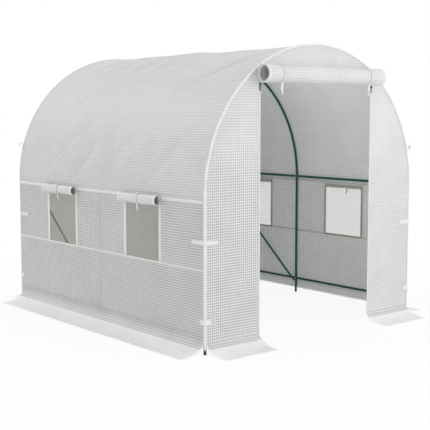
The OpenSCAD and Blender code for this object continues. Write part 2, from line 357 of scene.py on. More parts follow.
def tape_profile(width: float, thickness: float) -> tuple[Array, Array]:
    """Section of a tape that lies on its back: a flat oblong with softly rounded edges.

    Args:
        width: Across the tape.
        thickness: From the film under it, at 0, to its face.

    Returns:
        Closed loop of points, and each one's distance from the nearest edge.
    """
    half, round_off = width / 2, thickness * TAPE_ROUND
    x = np.array([-half, -half, -half + round_off, 0, half - round_off, half, half, 0, -half])
    rise = np.array([0, TAPE_SHOULDER, 1, 1, 1, TAPE_SHOULDER, 0, 0, 0])
    y = TAPE_SEAT + rise * (thickness - TAPE_SEAT)
    return stacked(x, y), half - np.abs(x)


def tape(path: Array, across: Array, normal: Array, width: float, thickness: float) -> Patch:
    """Closed tape laid along a path with its back on it.

    Args:
        path: Middle of the tape's back.
        across: Direction of the tape's width.
        normal: Direction from its back to its face.
        width: Across the tape.
        thickness: Through the tape.

    Returns:
        Patch of the whole tape, with closed ends.
    """
    profile, from_edge = tape_profile(width, thickness)
    longer, size, across, normal = capped(path, across, normal)
    return sweep(longer, across, normal, profile, from_edge, size)


def circle(sides: int) -> tuple[Array, Array]:
    """Angles once round, and the points of a circle of radius 1 there."""
    turn = np.linspace(0, FULL_TURN, sides + 1)
    return turn, stacked(np.cos(turn), np.sin(turn))


def ball_angles(sides: int, rises: int) -> tuple[Array, Array]:
    """Angles once round a ball, in a row, and from its lowest point to its highest, in a column."""
    return np.linspace(0, FULL_TURN, sides + 1)[None], np.linspace(-QUARTER, QUARTER, rises + 1)[:, None]


def tube(path: Array, radius: Array | float, across: Array, normal: Array, sides: int = 8) -> Patch:
    """Closed round cord along a path, with a radius that may change along it."""
    turn, profile = circle(sides)
    longer, size, across, normal = capped(path, across, normal)
    thick = np.pad(np.broadcast_to(radius, len(path)), 1, mode="edge")
    return sweep(longer, across, normal, profile, turn * np.max(thick), size * thick)


def turned(profile: Array, foot: Array, axis: Array, sides: int = 20) -> Patch:
    """Profile of radius and height turned about an axis.

    Args:
        profile: Points of radius and height above the foot, with radius 0 at both ends.
        foot: Point the axis starts from.
        axis: Unit direction of the axis.
        sides: Steps in the turn.

    Returns:
        Closed patch with a row for each profile point.
    """
    level = 0.9  # an axis that rises by less than this much of its length counts as level
    a = unit(np.cross(axis, UP if abs(axis[2]) < level else ACROSS))
    b = np.cross(axis, a)
    turn, rim = circle(sides)
    ring = rim[:, :1] * a + rim[:, 1:] * b
    points = foot + profile[:, None, :1] * ring[None] + profile[:, None, 1:] * axis
    return Patch(points, stacked(turn[None] * UV_PER_RADIAN, profile[:, 1:]))


def dimmed(colour: Colour, share: float) -> Colour:
    """Colour with each of its parts multiplied by a share."""
    return tuple(part * share for part in colour)


def add_object(name: str, data: bpy.types.ID) -> bpy.types.Object:
    """New object with its data, linked into the scene."""
    thing = bpy.data.objects.new(name, data)
    bpy.context.scene.collection.objects.link(thing)
    return thing


class NodeBench:
    """Lays out the nodes of one material, or of the world."""

    MIX_LOW, MIX_HIGH, MIX_RESULT = 6, 7, 2  # colour sockets of a Mix node

    def __init__(self, owner: bpy.types.Material | bpy.types.World) -> None:
        """Starts with an empty node tree."""
        owner.use_nodes = True
        self.tree = owner.node_tree
        self.tree.nodes.clear()

    def add(self, kind: str, settings: dict | None = None, **inputs: object) -> bpy.types.Node:
        """Adds a node.

        Args:
            kind: Node type without its ShaderNode start.
            settings: Properties of the node itself.
            **inputs: Values or sockets for inputs, spaces in their names written as underscores.

        Returns:
            The new node.
        """
        node = self.tree.nodes.new("ShaderNode" + kind)
        for key, value in (settings or {}).items():
            setattr(node, key, value)
        for key, value in inputs.items():
            self.feed(node.inputs[key.replace("_", " ")], value)
        return node

    def feed(self, target: Socket, value: object) -> None:
        """Links a socket to an input, or sets the input to a plain value."""
        if isinstance(value, bpy.types.NodeSocket):
            self.tree.links.new(value, target)
        elif isinstance(value, tuple) and len(value) == 3 and target.type == "RGBA":
            target.default_value = (*value, 1.0)
        else:
            target.default_value = value

    def math(self, operation: str, a: object, b: object = 0.0) -> Socket:
        """Result of one sum on two values or sockets."""
        node = self.add("Math", {"operation": operation})
        self.feed(node.inputs[0], a)
        self.feed(node.inputs[1], b)
        return node.outputs[0]

    def apart(self, value: Socket, middle: float) -> Socket:
        """Distance of a value from a middle."""
        return self.math("ABSOLUTE", self.math("SUBTRACT", value, middle))

    def cell(self, value: Socket, pitch: float) -> Socket:
        """Way through the cell of a regular pitch that a value lies in, from 0 to 1."""
        return self.math("FRACT", self.math("DIVIDE", value, pitch))

    def ramp(self, value: Socket, low: float, high: float, to_low: float = 0.0,
             to_high: float = 1.0) -> Socket:
        """Value carried smoothly from one range to another."""
        node = self.add("MapRange", {"interpolation_type": "SMOOTHSTEP"}, Value=value, From_Min=low,
                        From_Max=high, To_Min=to_low, To_Max=to_high)
        return node.outputs["Result"]

    def colour(self, factor: object, low: object, high: object, blend: str = "MIX") -> Socket:
        """Two colours mixed by a factor, or blended in another way."""
        node = self.add("Mix", {"data_type": "RGBA", "blend_type": blend}, Factor=factor)
        self.feed(node.inputs[self.MIX_LOW], low)
        self.feed(node.inputs[self.MIX_HIGH], high)
        return node.outputs[self.MIX_RESULT]

    def noise(self, place: Socket, scale: float, detail: float = 3.0, roughness: float = 0.55) -> Socket:
        """Grey noise at a place."""
        node = self.add("TexNoise", Vector=place, Scale=scale, Detail=detail, Roughness=roughness)
        return node.outputs["Fac"]

    def object_place(self) -> Socket:
        """Place on the piece in metres."""
        return self.add("TexCoord").outputs["Object"]

    def cloth_place(self) -> tuple[Socket, Socket, Socket]:
        """The cloth's own coordinates: both together, then along and across."""
        place = self.add("UVMap", {"uv_map": "cloth"}).outputs["UV"]
        parts = self.add("SeparateXYZ", Vector=place)
        return place, parts.outputs["X"], parts.outputs["Y"]

    def bump(self, height: Socket, distance: float, strength: float, under: Socket | None = None) -> Socket:
        """Normal bent by a height, with another bump under it if given."""
        node = self.add("Bump", Height=height, Distance=distance, Strength=strength)
        if under is not None:
            self.feed(node.inputs["Normal"], under)
        return node.outputs["Normal"]

    def skin(self, **inputs: object) -> Socket:
        """Shader of a plain surface, with its inputs named as for add."""
        return self.add("BsdfPrincipled", **inputs).outputs[0]

    def mixed(self, share: object, first: Socket, second: Socket) -> Socket:
        """Shader between two others, by the share of the second."""
        node = self.add("MixShader", Fac=share)
        self.feed(node.inputs[1], first)
        self.feed(node.inputs[2], second)
        return node.outputs[0]

    def close(self, shader: Socket, output: str = "OutputMaterial") -> None:
        """Joins a shader to the output."""
        self.feed(self.add(output).inputs["Surface"], shader)


@dataclass(frozen=True)
class Finish(ABC):
    """What a surface is made of, and the record's slot for it."""

    name: str
    slot: Slot

    @abstractmethod
    def lay_out(self, bench: NodeBench) -> Socket:
        """Lays out the material's nodes and gives its shader."""

    @lru_cache(maxsize=None)
    def material(self) -> bpy.types.Material:
        """The finish's material, made on first use."""
        material = bpy.data.materials.new(self.name)
        bench = NodeBench(material)
        bench.close(self.lay_out(bench))
        return material


@dataclass(frozen=True)
class GridCloth(Finish):
    """White film with a square grid of reinforcing threads.

    The threads lie on the lines of a square grid in the cloth's own coordinates. They are whiter and
    stand a little proud, and the film between them is greyer and lets more light through. The film may
    be painted lighter higher up, as painted light and shade: a lit top, and a darker lower part where the
    shaded inside shows through. The whole cloth may change to plain film past a line across it.
    """

    film: Colour = (0.40, 0.41, 0.395)
    thread: Colour = (0.76, 0.765, 0.75)
    # painted light: a lighter film colour for the upper part of a panel, and the heights over which the film
    # turns to it
    lit_high_film: Colour | None = None
    lit_high_from: Span = (0.9, 1.5)
    plain: Colour | None = None
    plain_past: Span = (0.042, 0.058)
    pitch: float = 0.0175
    thread_width: float = 0.0073
    thread_blur: float = 0.08
    translucency: float = 0.20
    roughness: Span = (0.40, 0.54)
    mottle: float = 0.06
    cloudy: Span = (0.3, 0.7)

    def thread_mask(self, bench: NodeBench, coordinate: Socket) -> Socket:
        """1 on the threads of one direction: where the coordinate is furthest from its cell's middle."""
        from_middle = bench.math("MULTIPLY", bench.apart(bench.cell(coordinate, self.pitch), 0.5), 2.0)
        edge = 1.0 - self.thread_width / self.pitch
        return bench.ramp(from_middle, edge - self.thread_blur, edge + self.thread_blur)

    def lay_out(self, bench: NodeBench) -> Socket:
        """Film and threads as a diffuse surface mixed with light that comes through."""
        cloth, along, across = bench.cloth_place()
        threads = bench.math("MAXIMUM", self.thread_mask(bench, along), self.thread_mask(bench, across))
        film = self.film
        # Painted light and shade: the film turns lighter from the lower heights to the upper ones, for a lit
        # top and a shaded lower part.
        if self.lit_high_film:
            height = bench.add("SeparateXYZ", Vector=bench.object_place()).outputs["Z"]
            film = bench.colour(bench.ramp(height, *self.lit_high_from), film, self.lit_high_film)
        grid = bench.colour(threads, film, self.thread)
        if self.plain:
            grid = bench.colour(bench.ramp(across, *self.plain_past), grid, self.plain)
        cloud = bench.noise(bench.object_place(), scale=5.0, detail=4.0)
        shade = bench.ramp(cloud, *self.cloudy, to_low=1.0 - self.mottle)
        grey = bench.add("CombineColor", Red=shade, Green=shade, Blue=shade).outputs[0]
        colour = bench.colour(1.0, grid, grey, "MULTIPLY")
        weave = bench.bump(bench.noise(cloth, scale=700.0, detail=2.0), distance=0.0002, strength=0.25)
        bent = bench.bump(threads, distance=0.0004, strength=0.6, under=weave)
        skin = bench.skin(Base_Color=colour, Normal=bent, IOR=1.45, Specular_IOR_Level=0.35,
                          Roughness=bench.ramp(cloud, *self.cloudy, *self.roughness))
        through = bench.add("BsdfTranslucent", Color=colour, Normal=bent).outputs[0]
        return bench.mixed(self.translucency, skin, through)


@dataclass(frozen=True)
class BindingTape(Finish):
    """White woven tape with a row of lock stitches near each edge.

    A stitch is a short dash along the tape, at a fixed distance from the nearest edge.
    """

    colour: Colour = (0.83, 0.83, 0.82)
    stitch_from_edge: float = 0.0028
    stitch_half: Span = (0.0004, 0.0009)
    stitch_pitch: float = 0.0055
    dash_half: Span = (0.28, 0.40)
    rib_pitch: float = 0.0016
    soil: float = 0.95
    shaded_dimple: float = 0.72

    def lay_out(self, bench: NodeBench) -> Socket:
        """Ribs across the tape, dashes of thread sunk into it with painted shade between them, and a soft
        sheen.
        """
        cloth, along, edge = bench.cloth_place()
        in_row = bench.ramp(bench.apart(edge, self.stitch_from_edge), *self.stitch_half, 1.0, 0.0)
        beat = bench.cell(along, self.stitch_pitch)
        in_dash = bench.ramp(bench.apart(beat, 0.5), *self.dash_half, 1.0, 0.0)
        stitch = bench.math("MULTIPLY", in_row, in_dash)
        shaded_dimple = bench.math("SUBTRACT", in_row, stitch)
        rib = bench.math("SINE", bench.math("MULTIPLY", along, FULL_TURN / self.rib_pitch))
        fuzz = bench.noise(cloth, scale=900.0, detail=2.0)
        clean = bench.ramp(bench.noise(bench.object_place(), scale=9.0, detail=4.0), low=0.25, high=0.75)
        plain = bench.colour(clean, dimmed(self.colour, self.soil), self.colour)
        bent = bench.bump(fuzz, distance=0.0001, strength=0.3)
        bent = bench.bump(rib, distance=0.00012, strength=0.35, under=bent)
        bent = bench.bump(bench.math("SUBTRACT", stitch, shaded_dimple), distance=0.0005, strength=0.8, under=bent)
        # Painted shade: the stitch row between the dashes is darker, standing for shade in its sunk dimples.
        return bench.skin(Base_Color=bench.colour(shaded_dimple, plain, dimmed(self.colour, self.shaded_dimple)),
                          Normal=bent, Sheen_Weight=0.15, Specular_IOR_Level=0.3,
                          Roughness=bench.ramp(fuzz, low=0.2, high=0.8, to_low=0.55, to_high=0.72))


@dataclass(frozen=True)
class PaintedTube(Finish):
    """Dark green powder coat on steel tube, with a fine orange peel and a few dull patches."""

    colour: Colour = (0.002, 0.080, 0.068)
    worn: Colour = (0.004, 0.100, 0.084)

    def lay_out(self, bench: NodeBench) -> Socket:
        """Coat colour mottled by noise, with a satin gloss broken up by the same noise."""
        place = bench.object_place()
        patches = bench.ramp(bench.noise(place, scale=22.0, detail=5.0), low=0.4, high=0.75)
        peel = bench.noise(place, scale=1400.0, detail=1.0)
        return bench.skin(Base_Color=bench.colour(patches, self.colour, self.worn), Specular_IOR_Level=0.28,
                          Roughness=bench.ramp(patches, 0.0, 1.0, to_low=0.38, to_high=0.52),
                          Normal=bench.bump(peel, distance=0.0001, strength=0.25))


@dataclass(frozen=True)
class ZincedSteel(Finish):
    """Bright zinc plate with a faint spangle."""

    colour: Colour = (0.30, 0.31, 0.30)
    dark: float = 0.8

    def lay_out(self, bench: NodeBench) -> Socket:
        """Metal whose colour and roughness follow the spangle."""
        spangle = bench.noise(bench.object_place(), scale=260.0)
        return bench.skin(Base_Color=bench.colour(spangle, dimmed(self.colour, self.dark), self.colour),
                          Roughness=bench.ramp(spangle, low=0.2, high=0.8, to_low=0.28, to_high=0.48),
                          Metallic=1.0)


@dataclass(frozen=True)
class ScreenThread(Finish):
    """Grey-green monofilament of the insect screens."""

    colour: Colour = (0.52, 0.53, 0.46)
    dark: float = 0.85

    def lay_out(self, bench: NodeBench) -> Socket:
        """Slightly glossy thread, lighter and darker along its length."""
        slubs = bench.ramp(bench.noise(bench.object_place(), scale=60.0), low=0.3, high=0.7)
        return bench.skin(Base_Color=bench.colour(slubs, dimmed(self.colour, self.dark), self.colour),
                          Roughness=bench.ramp(slubs, 0.0, 1.0, to_low=0.42, to_high=0.55))


@dataclass(frozen=True)
class MouldedPlastic(Finish):
    """Moulded plastic with a fine spark-eroded grain."""

    colour: Colour
    dark: float = 0.8

    def lay_out(self, bench: NodeBench) -> Socket:
        """Plain colour with a grain in its shade, gloss and surface."""
        grain = bench.noise(bench.object_place(), scale=900.0)
        return bench.skin(Base_Color=bench.colour(grain, dimmed(self.colour, self.dark), self.colour),
                          Roughness=bench.ramp(grain, low=0.3, high=0.7, to_low=0.38, to_high=0.55),
                          Normal=bench.bump(grain, distance=0.0001, strength=0.3))


# One cover film in lit and shaded copies: the film and thread shades differ face by face as painted light and
# shade, lighter on the roof and the pale end panels, darker on the side walls and the front-left panel, with
# lighter tops painted on the end panels.
WALL_FILM = GridCloth("wall_film", Slot.CLOTH)
ROOF_FILM = GridCloth("roof_film", Slot.CLOTH, film=(0.56, 0.565, 0.56), thread=(0.78, 0.785, 0.78),
                      translucency=0.14)
END_FILM = GridCloth("end_film", Slot.CLOTH, film=(0.43, 0.44, 0.425), thread=(0.84, 0.845, 0.84),
                     lit_high_film=(0.61, 0.615, 0.61))
PALE_FILM = GridCloth("pale_film", Slot.CLOTH, film=(0.59, 0.60, 0.59), thread=(0.84, 0.845, 0.84),
                      lit_high_film=(0.70, 0.705, 0.70))
SKIRT_FILM = GridCloth("skirt_film", Slot.CLOTH, film=(0.46, 0.465, 0.45), thread=(0.80, 0.805, 0.80),
                       plain=(0.94, 0.945, 0.94))
ROLL_FILM = GridCloth("roll_film", Slot.CLOTH, film=(0.66, 0.665, 0.66), thread=(0.86, 0.865, 0.86),
                      translucency=0.10)
WHITE_TAPE = BindingTape("white_tape", Slot.TAPE)
GREEN_TUBE = PaintedTube("green_tube", Slot.FRAME)
BOLT_ZINC = ZincedSteel("bolt_zinc", Slot.FRAME)
SCREEN_THREAD = ScreenThread("screen_thread", Slot.SCREEN)
BLACK_PLASTIC = MouldedPlastic("zip_black", Slot.ZIP, (0.022, 0.022, 0.023))
WHITE_PLASTIC = MouldedPlastic("zip_white", Slot.TAPE, (0.86, 0.86, 0.85))


class Build(Enum):
    """How a piece's patches become a mesh."""

    SHEET = "one layer of cloth"
    SOLID = "closed shapes"


def join_patches(name: str, patches: Sequence[Patch], build: Build) -> bpy.types.Mesh:
    """One smooth mesh of several patches, with the cloth coordinates as its UV map.

    Args:
        name: Name of the mesh.
        patches: Patches to join.
        build: Whether the mesh is a single layer, or closed shapes whose seams and poles are merged.

    Returns:
        The new mesh.
    """
    firsts = np.cumsum([0, *(p.points.shape[0] * p.points.shape[1] for p in patches)])
    points = np.concatenate([p.points.reshape(-1, 3) for p in patches])
    uv = np.concatenate([p.uv.reshape(-1, 2) for p in patches])
    quads = np.concatenate([p.quads(int(first)) for p, first in zip(patches, firsts)])
    mesh = bpy.data.meshes.new(name)
    mesh.from_pydata(points, [], quads)
    layer = mesh.uv_layers.new(name="cloth")
    layer.data.foreach_set("uv", uv[quads.ravel()].astype(np.float32).ravel())
    shape = bmesh.new()
    shape.from_mesh(mesh)
    bmesh.ops.remove_doubles(shape, verts=shape.verts, dist=MERGE_DISTANCE)
    loose = [v for v in shape.verts if not v.link_faces]
    bmesh.ops.delete(shape, geom=loose, context="VERTS")
    if build is Build.SOLID:
        bmesh.ops.recalc_face_normals(shape, faces=shape.faces)
    shape.to_mesh(mesh)
    shape.free()
    mesh.polygons.foreach_set("use_smooth", np.ones(len(mesh.polygons), bool))
    return mesh


def make_piece(name: str, patches: Sequence[Patch], finish: Finish, nodes: Sequence[str] = (),
               build: Build = Build.SOLID) -> bpy.types.Object:
    """Makes a piece of the greenhouse and reports it.

    Args:
        name: Name of the piece.
        patches: Its surfaces.
        finish: What it is made of.
        nodes: CAD nodes it stands for.
        build: How its mesh is made.

    Returns:
        The new object, riding on the tunnel's body.
    """
    mesh = join_patches(name, patches, build)
    mesh.materials.append(finish.material())
    piece = add_object(name, mesh)
    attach(piece, BODY)
    if nodes:
        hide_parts(*nodes)
    LOG.info("%s: %d faces, %s", name, len(mesh.polygons), finish.name)
    return piece


def make_cloth(name: str, patch: Patch, finish: Finish, node: str) -> bpy.types.Object:
    """Makes a piece of one layer of cloth, which stands for one CAD node."""
    return make_piece(name, [patch], finish, [node], Build.SHEET)


def paint_node(node: str, finish: Finish) -> None:
    """Gives a CAD node that stays its finish."""
    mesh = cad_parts[node].data
    mesh.materials.clear()
    mesh.materials.append(finish.material())
    LOG.info("%s: CAD solid, %s", node, finish.name)


@dataclass(frozen=True)
class Creases:
    """A seeded family of soft slanted folds in slack film.

    A fold is a bell curve across its line times a wider bell along it. The folds lie at random in the
    given ranges, slanted by about the same angle.
    """

    seed: int
    count: int
    height: float
    half_width: float = 0.033
    half_length: float = 0.38
    slant: float = math.radians(42)
    scatter: float = math.radians(9)

    WIDTHS = (0.6, 1.5)  # shares of the half width and the half length that the folds are drawn from
    REACHES = (0.5, 1.4)

    def lift(self, u: Array, v: Array) -> Array:
        """Height of all the folds together.

        Args:
            u: First cloth coordinate.
            v: Second cloth coordinate.

        Returns:
            Lift off the smooth surface, in the shape of u and v.
        """
        rng = np.random.default_rng(self.seed)
        low, high = np.array([u.min(), v.min()]), np.array([u.max(), v.max()])
        total = np.zeros(np.broadcast_shapes(u.shape, v.shape))
        for _ in range(self.count):
            u0, v0 = rng.uniform(low, high)
            angle = self.slant + rng.normal(0, self.scatter)
            width = self.half_width * rng.uniform(*self.WIDTHS)
            reach = self.half_length * rng.uniform(*self.REACHES)
            height = self.height * rng.uniform(-1.0, 1.0)
            along = (u - u0) * math.sin(angle) - (v - v0) * math.cos(angle)
            across = (u - u0) * math.cos(angle) + (v - v0) * math.sin(angle)
            total += height * np.exp(-(across / width) ** 2 - (along / reach) ** 2)
        return total


@dataclass(frozen=True)
class Slack:
    """How the film lies between the hoops.

    Between two hoops the film hangs by a dip that is level over most of the bay and comes up to each
    hoop in a short pull: one minus the hyperbolic cosine of the distance from the bay's middle over
    the pull, as a share of its value at the hoop.
    """

    tunnel: Tunnel
    pull: float = 0.12
    wrap: float = 3.0
    rail_floor: float = -0.0018

    def bay(self, y: Array) -> Array:
        """0 on a hoop and close to 1 over the middle of a bay."""
        front, middle, rear = self.tunnel.hoop_lines
        half = (rear - middle) / 2
        from_middle = np.abs(np.abs(np.clip(y, front, rear)) - half)
        return 1 - np.cosh(from_middle / self.pull) / math.cosh(half / self.pull)

    def soft_bay(self, y: Array) -> Array:
        """0 on a hoop and 1 at the middle of a bay, level at both: the squared sine of the way across."""
        front, middle, rear = self.tunnel.hoop_lines
        return np.sin(math.pi * np.abs(np.clip(y, front, rear)) / (rear - middle)) ** 2

    def over_rail(self, lift: Array, offset: Array, floor: float) -> Array:
        """Lift kept off a rail under the film: never below a curve a few times as wide as its round back.

        Args:
            lift: Lift of the film.
            offset: Distance across the film from the rail's line.
            floor: Lift of the film where it touches the rail.

        Returns:
            The lift, raised where it would cut the rail.
        """
        return np.maximum(lift, floor - offset ** 2 / (2 * self.wrap * self.tunnel.tube_radius))


@dataclass
class TubeFrame:
    """Hoops, rails and braces of painted tube, with the bolts that join them."""

    tunnel: Tunnel
    head_radius: float = 0.0062
    head_height: float = 0.0042
    washer_radius: float = 0.0085
    washer_height: float = 0.0012
    tongue: float = 0.003
    tongue_air: float = 0.0003
    brace_foot: float = 0.095
    brace_head_rise: float = 0.125
    ridge_bolt: float = 0.016
    dome_steps: int = 7

    NODES = (
        "front_legs", "middle_legs", "rear_legs", "front_bows", "middle_bows", "rear_bows", "ridge_rails",
        "left_side_rails", "right_side_rails", "left_bottom_rails", "right_bottom_rails", "diagonal_braces",
    )

    def bolt(self, foot: Sequence[float], axis: Array) -> Patch:
        """Dome-headed bolt on a washer: a step for the washer, then a quarter of an ellipse."""
        turn = np.linspace(0, QUARTER, self.dome_steps)
        dome = stacked(self.head_radius * np.cos(turn), self.washer_height + self.head_height * np.sin(turn))
        washer = [[0, 0], [self.washer_radius, 0], [self.washer_radius, self.washer_height],
                  [self.head_radius, self.washer_height]]
        return turned(np.concatenate([washer, dome]), np.array(foot), axis)

    def bolts(self) -> list[Patch]:
        """Bolts inside the hoops at both rails, under the ridge and on the braces' tongues."""
        t = self.tunnel
        inside = t.hoop_radius - t.tube_radius
        front, middle, rear = t.hoop_lines
        head = t.wall_height + self.brace_head_rise
        head_reach = math.sqrt(inside ** 2 - self.brace_head_rise ** 2)
        seat = self.tongue + self.tongue_air
        places = [(inside, y, z) for y in t.hoop_lines for z in (t.bottom_rail, t.wall_height)]
        places += [(inside - seat, middle, self.brace_foot), (head_reach - seat, rear, head)]
        patches = [self.bolt((side.value * reach, y, z), -side.value * ACROSS)
                   for side in Side for reach, y, z in places]
        ridge_low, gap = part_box("ridge_rails")[0].z, self.ridge_bolt
        for y in (front + gap, middle - gap, middle + gap, rear - gap):
            patches.append(self.bolt((0.0, y, ridge_low), -UP))
        return patches

    def build(self) -> None:
        """Paints the CAD tubes and adds the bolts."""
        for node in self.NODES:
            paint_node(node, GREEN_TUBE)
        make_piece("frame_bolts", self.bolts(), BOLT_ZINC)


@dataclass
class RoofCover:
    """The roof sheet, from seam to seam over the hoops."""

    tunnel: Tunnel
    slack: Slack
    dip: float = 0.0125
    dip_fades: Span = (0.40, 1.05)
    sewn_flat: float = 0.12
    side_share: float = 0.3
    ridge_calm: float = 0.6
    ridge_width: float = 0.25
    ridge_floor: float = -0.0118
    step: float = 0.0105
    creases: Creases = Creases(seed=ROOF_SEED, count=75, height=0.030)

    def lift(self, run: Array, y: Array) -> Array:
        """Dip and folds between the hoops, kept above the rails.

        The dip fades out towards the sides. The folds are weaker along the ridge, by a bell curve of the
        distance from it, and end a hand's breadth before the side seams, where the film is sewn flat.
        """
        t = self.tunnel
        from_ridge = np.abs(run)
        held = 1 - smooth_step(from_ridge, *(share * t.half_width for share in self.dip_fades))
        sewn = smooth_step(t.wall_run(t.upper_seam) - from_ridge, 0.0, self.sewn_flat)
        ridge = np.exp(-(run / self.ridge_width) ** 2)
        share = (self.side_share + (1 - self.side_share) * held - self.ridge_calm * ridge) * sewn
        lift = self.slack.bay(y) * (share * self.creases.lift(run, y) - held * self.dip)
        lift = self.slack.over_rail(lift, run, self.ridge_floor)
        return self.slack.over_rail(lift, from_ridge - QUARTER * t.half_width, self.slack.rail_floor)

    def build(self) -> bpy.types.Object:
        """Makes the roof sheet."""
        t = self.tunnel
        edge = t.wall_run(t.upper_seam)
        run = spaced((-edge, 0, edge), self.step)[None, :]
        y = spaced((-t.cover_half, *t.hoop_lines, t.cover_half), self.step)[:, None]
        x, z, nx, nz = t.section(run)
        lift = self.lift(run, y)
        patch = Patch(stacked(x + nx * lift, y, z + nz * lift), stacked(y, run))
        roof = make_cloth("roof_cover", patch.facing(stacked(nx, 0 * y, nz)), ROOF_FILM, "roof_sheet")
        return roof


@dataclass
class RolledFlap:
    """A flap of film rolled up outside a face and hung from its sewn top edge.

    The cloth comes straight down from its sewn edge, then winds under, up and over, in a spiral whose
    radius falls by one gap each turn. Soft lumps and the pull of the ties change the radius along it,
    and the whole roll may be pressed flat against its face.
    """

    tunnel: Tunnel
    name: str
    face: Face
    middle: float
    height: float
    radius: float
    length: float
    tail: float
    turns: float
    gap: float
    ties: Sequence[float]
    node: str
    seed: int
    stand_off: float = 0.0015
    flat: float = 1.0
    rim: float = 0.024
    rim_proud: float = 1.02
    lump: float = 0.0016
    sink: float = 1.2
    waist: float = 0.006
    waist_width: float = 0.016
    turn_steps: int = 40
    tail_steps: int = 5
    step: float = 0.012

    WAVES = ((1.0, 9, 2), (0.6, 23, 3), (0.4, 47, 1))  # share of each wave, its pace along and round the roll

    def winding(self) -> tuple[Array, Array]:
        """Angle round the roll's middle and the spiral's radius there, from the sewn side inwards."""
        angle = math.pi + np.linspace(0, FULL_TURN * self.turns, int(self.turn_steps * self.turns) + 1)
        return angle, self.radius - self.gap * (angle - math.pi) / FULL_TURN

    def swell(self, along: Array, angle: Array) -> Array:
        """Change of radius: a few waves along and round the roll, and a pinch at each tie."""
        phases = np.random.default_rng(self.seed).uniform(0, FULL_TURN, (len(self.WAVES), 2))
        waves = sum(share * np.sin(pace * along + first) * np.cos(folds * angle + second)
                    for (share, pace, folds), (first, second) in zip(self.WAVES, phases))
        pinch = sum(np.exp(-((along - tie) / self.waist_width) ** 2) for tie in self.ties)
        return self.lump * (waves - self.sink) - self.waist * pinch

    def around(self, along: Array, angle: Array, radius: Array) -> tuple[Array, Array]:
        """Points round the roll's axis and the directions away from it.

        A point lies outwards by the radius times the cosine of its angle, pressed flat, and up by the
        radius times the sine. The direction is the ellipse's normal: the cosine over the flatness, and
        the sine.

        Args:
            along: Distances from the roll's middle.
            angle: Angles round the axis, 0 outwards and a quarter turn up.
            radius: Distances from the axis before the roll is pressed flat.

        Returns:
            Points and unit directions, the last axis being X, Y, Z.
        """
        out = self.stand_off + self.flat * (self.radius + radius * np.cos(angle))
        up = self.height + radius * np.sin(angle)
        points = self.tunnel.place(self.face, self.middle + along, out, up)
        away = np.cos(angle)[..., None] / self.flat * self.face.outward + np.sin(angle)[..., None] * UP
        return points, np.broadcast_to(unit(away), points.shape)

    def rounds(self, along: Array) -> tuple[Array, Array, Array]:
        """Spiral part of the section at places along the roll.

        Args:
            along: Distances from the roll's middle, one for each row.

        Returns:
            Points of rows by spiral steps, the directions away from the axis, and the spiral's running
            length.
        """
        angle, radius = self.winding()
        depth = radius[None] + self.swell(along[:, None], angle[None])
        points, away = self.around(along[:, None], angle[None], depth)
        section = stacked(self.flat * radius * np.cos(angle), radius * np.sin(angle))
        return points, away, length_along(section)

    def build(self) -> bpy.types.Object:
        along = spaced((-self.length / 2, self.length / 2), self.step)
        points, away, run = self.rounds(along)
        drop = np.linspace(self.tail, 0, self.tail_steps + 1)[:-1]
        back = points[:, :1] + drop[None, :, None] * UP
        points = np.concatenate([back, points], axis=1)
        away = np.concatenate([np.broadcast_to(away[:, :1], back.shape), away], axis=1)
        run = np.concatenate([-drop, run])
        patch = Patch(points, stacked(along[:, None], run[None]))
        roll = make_cloth(self.name, patch.facing(away), ROLL_FILM, self.node)
        rims = make_piece(f"{self.name}_rims", self.rims(), WHITE_TAPE)
        return roll

    def rims(self) -> list[Patch]:
        """Binding sewn to both ends of the flap, wound up with it: a tape along the spiral's edge."""
        patches = []
        for end in ENDS:
            points, away, _ = self.rounds(np.array([end * (self.length - self.rim) / 2]))
            back = points[0] - away[0] * self.gap / 2
            patches.append(tape(back, self.face.along, away[0], self.rim, self.gap * self.rim_proud))
        return patches


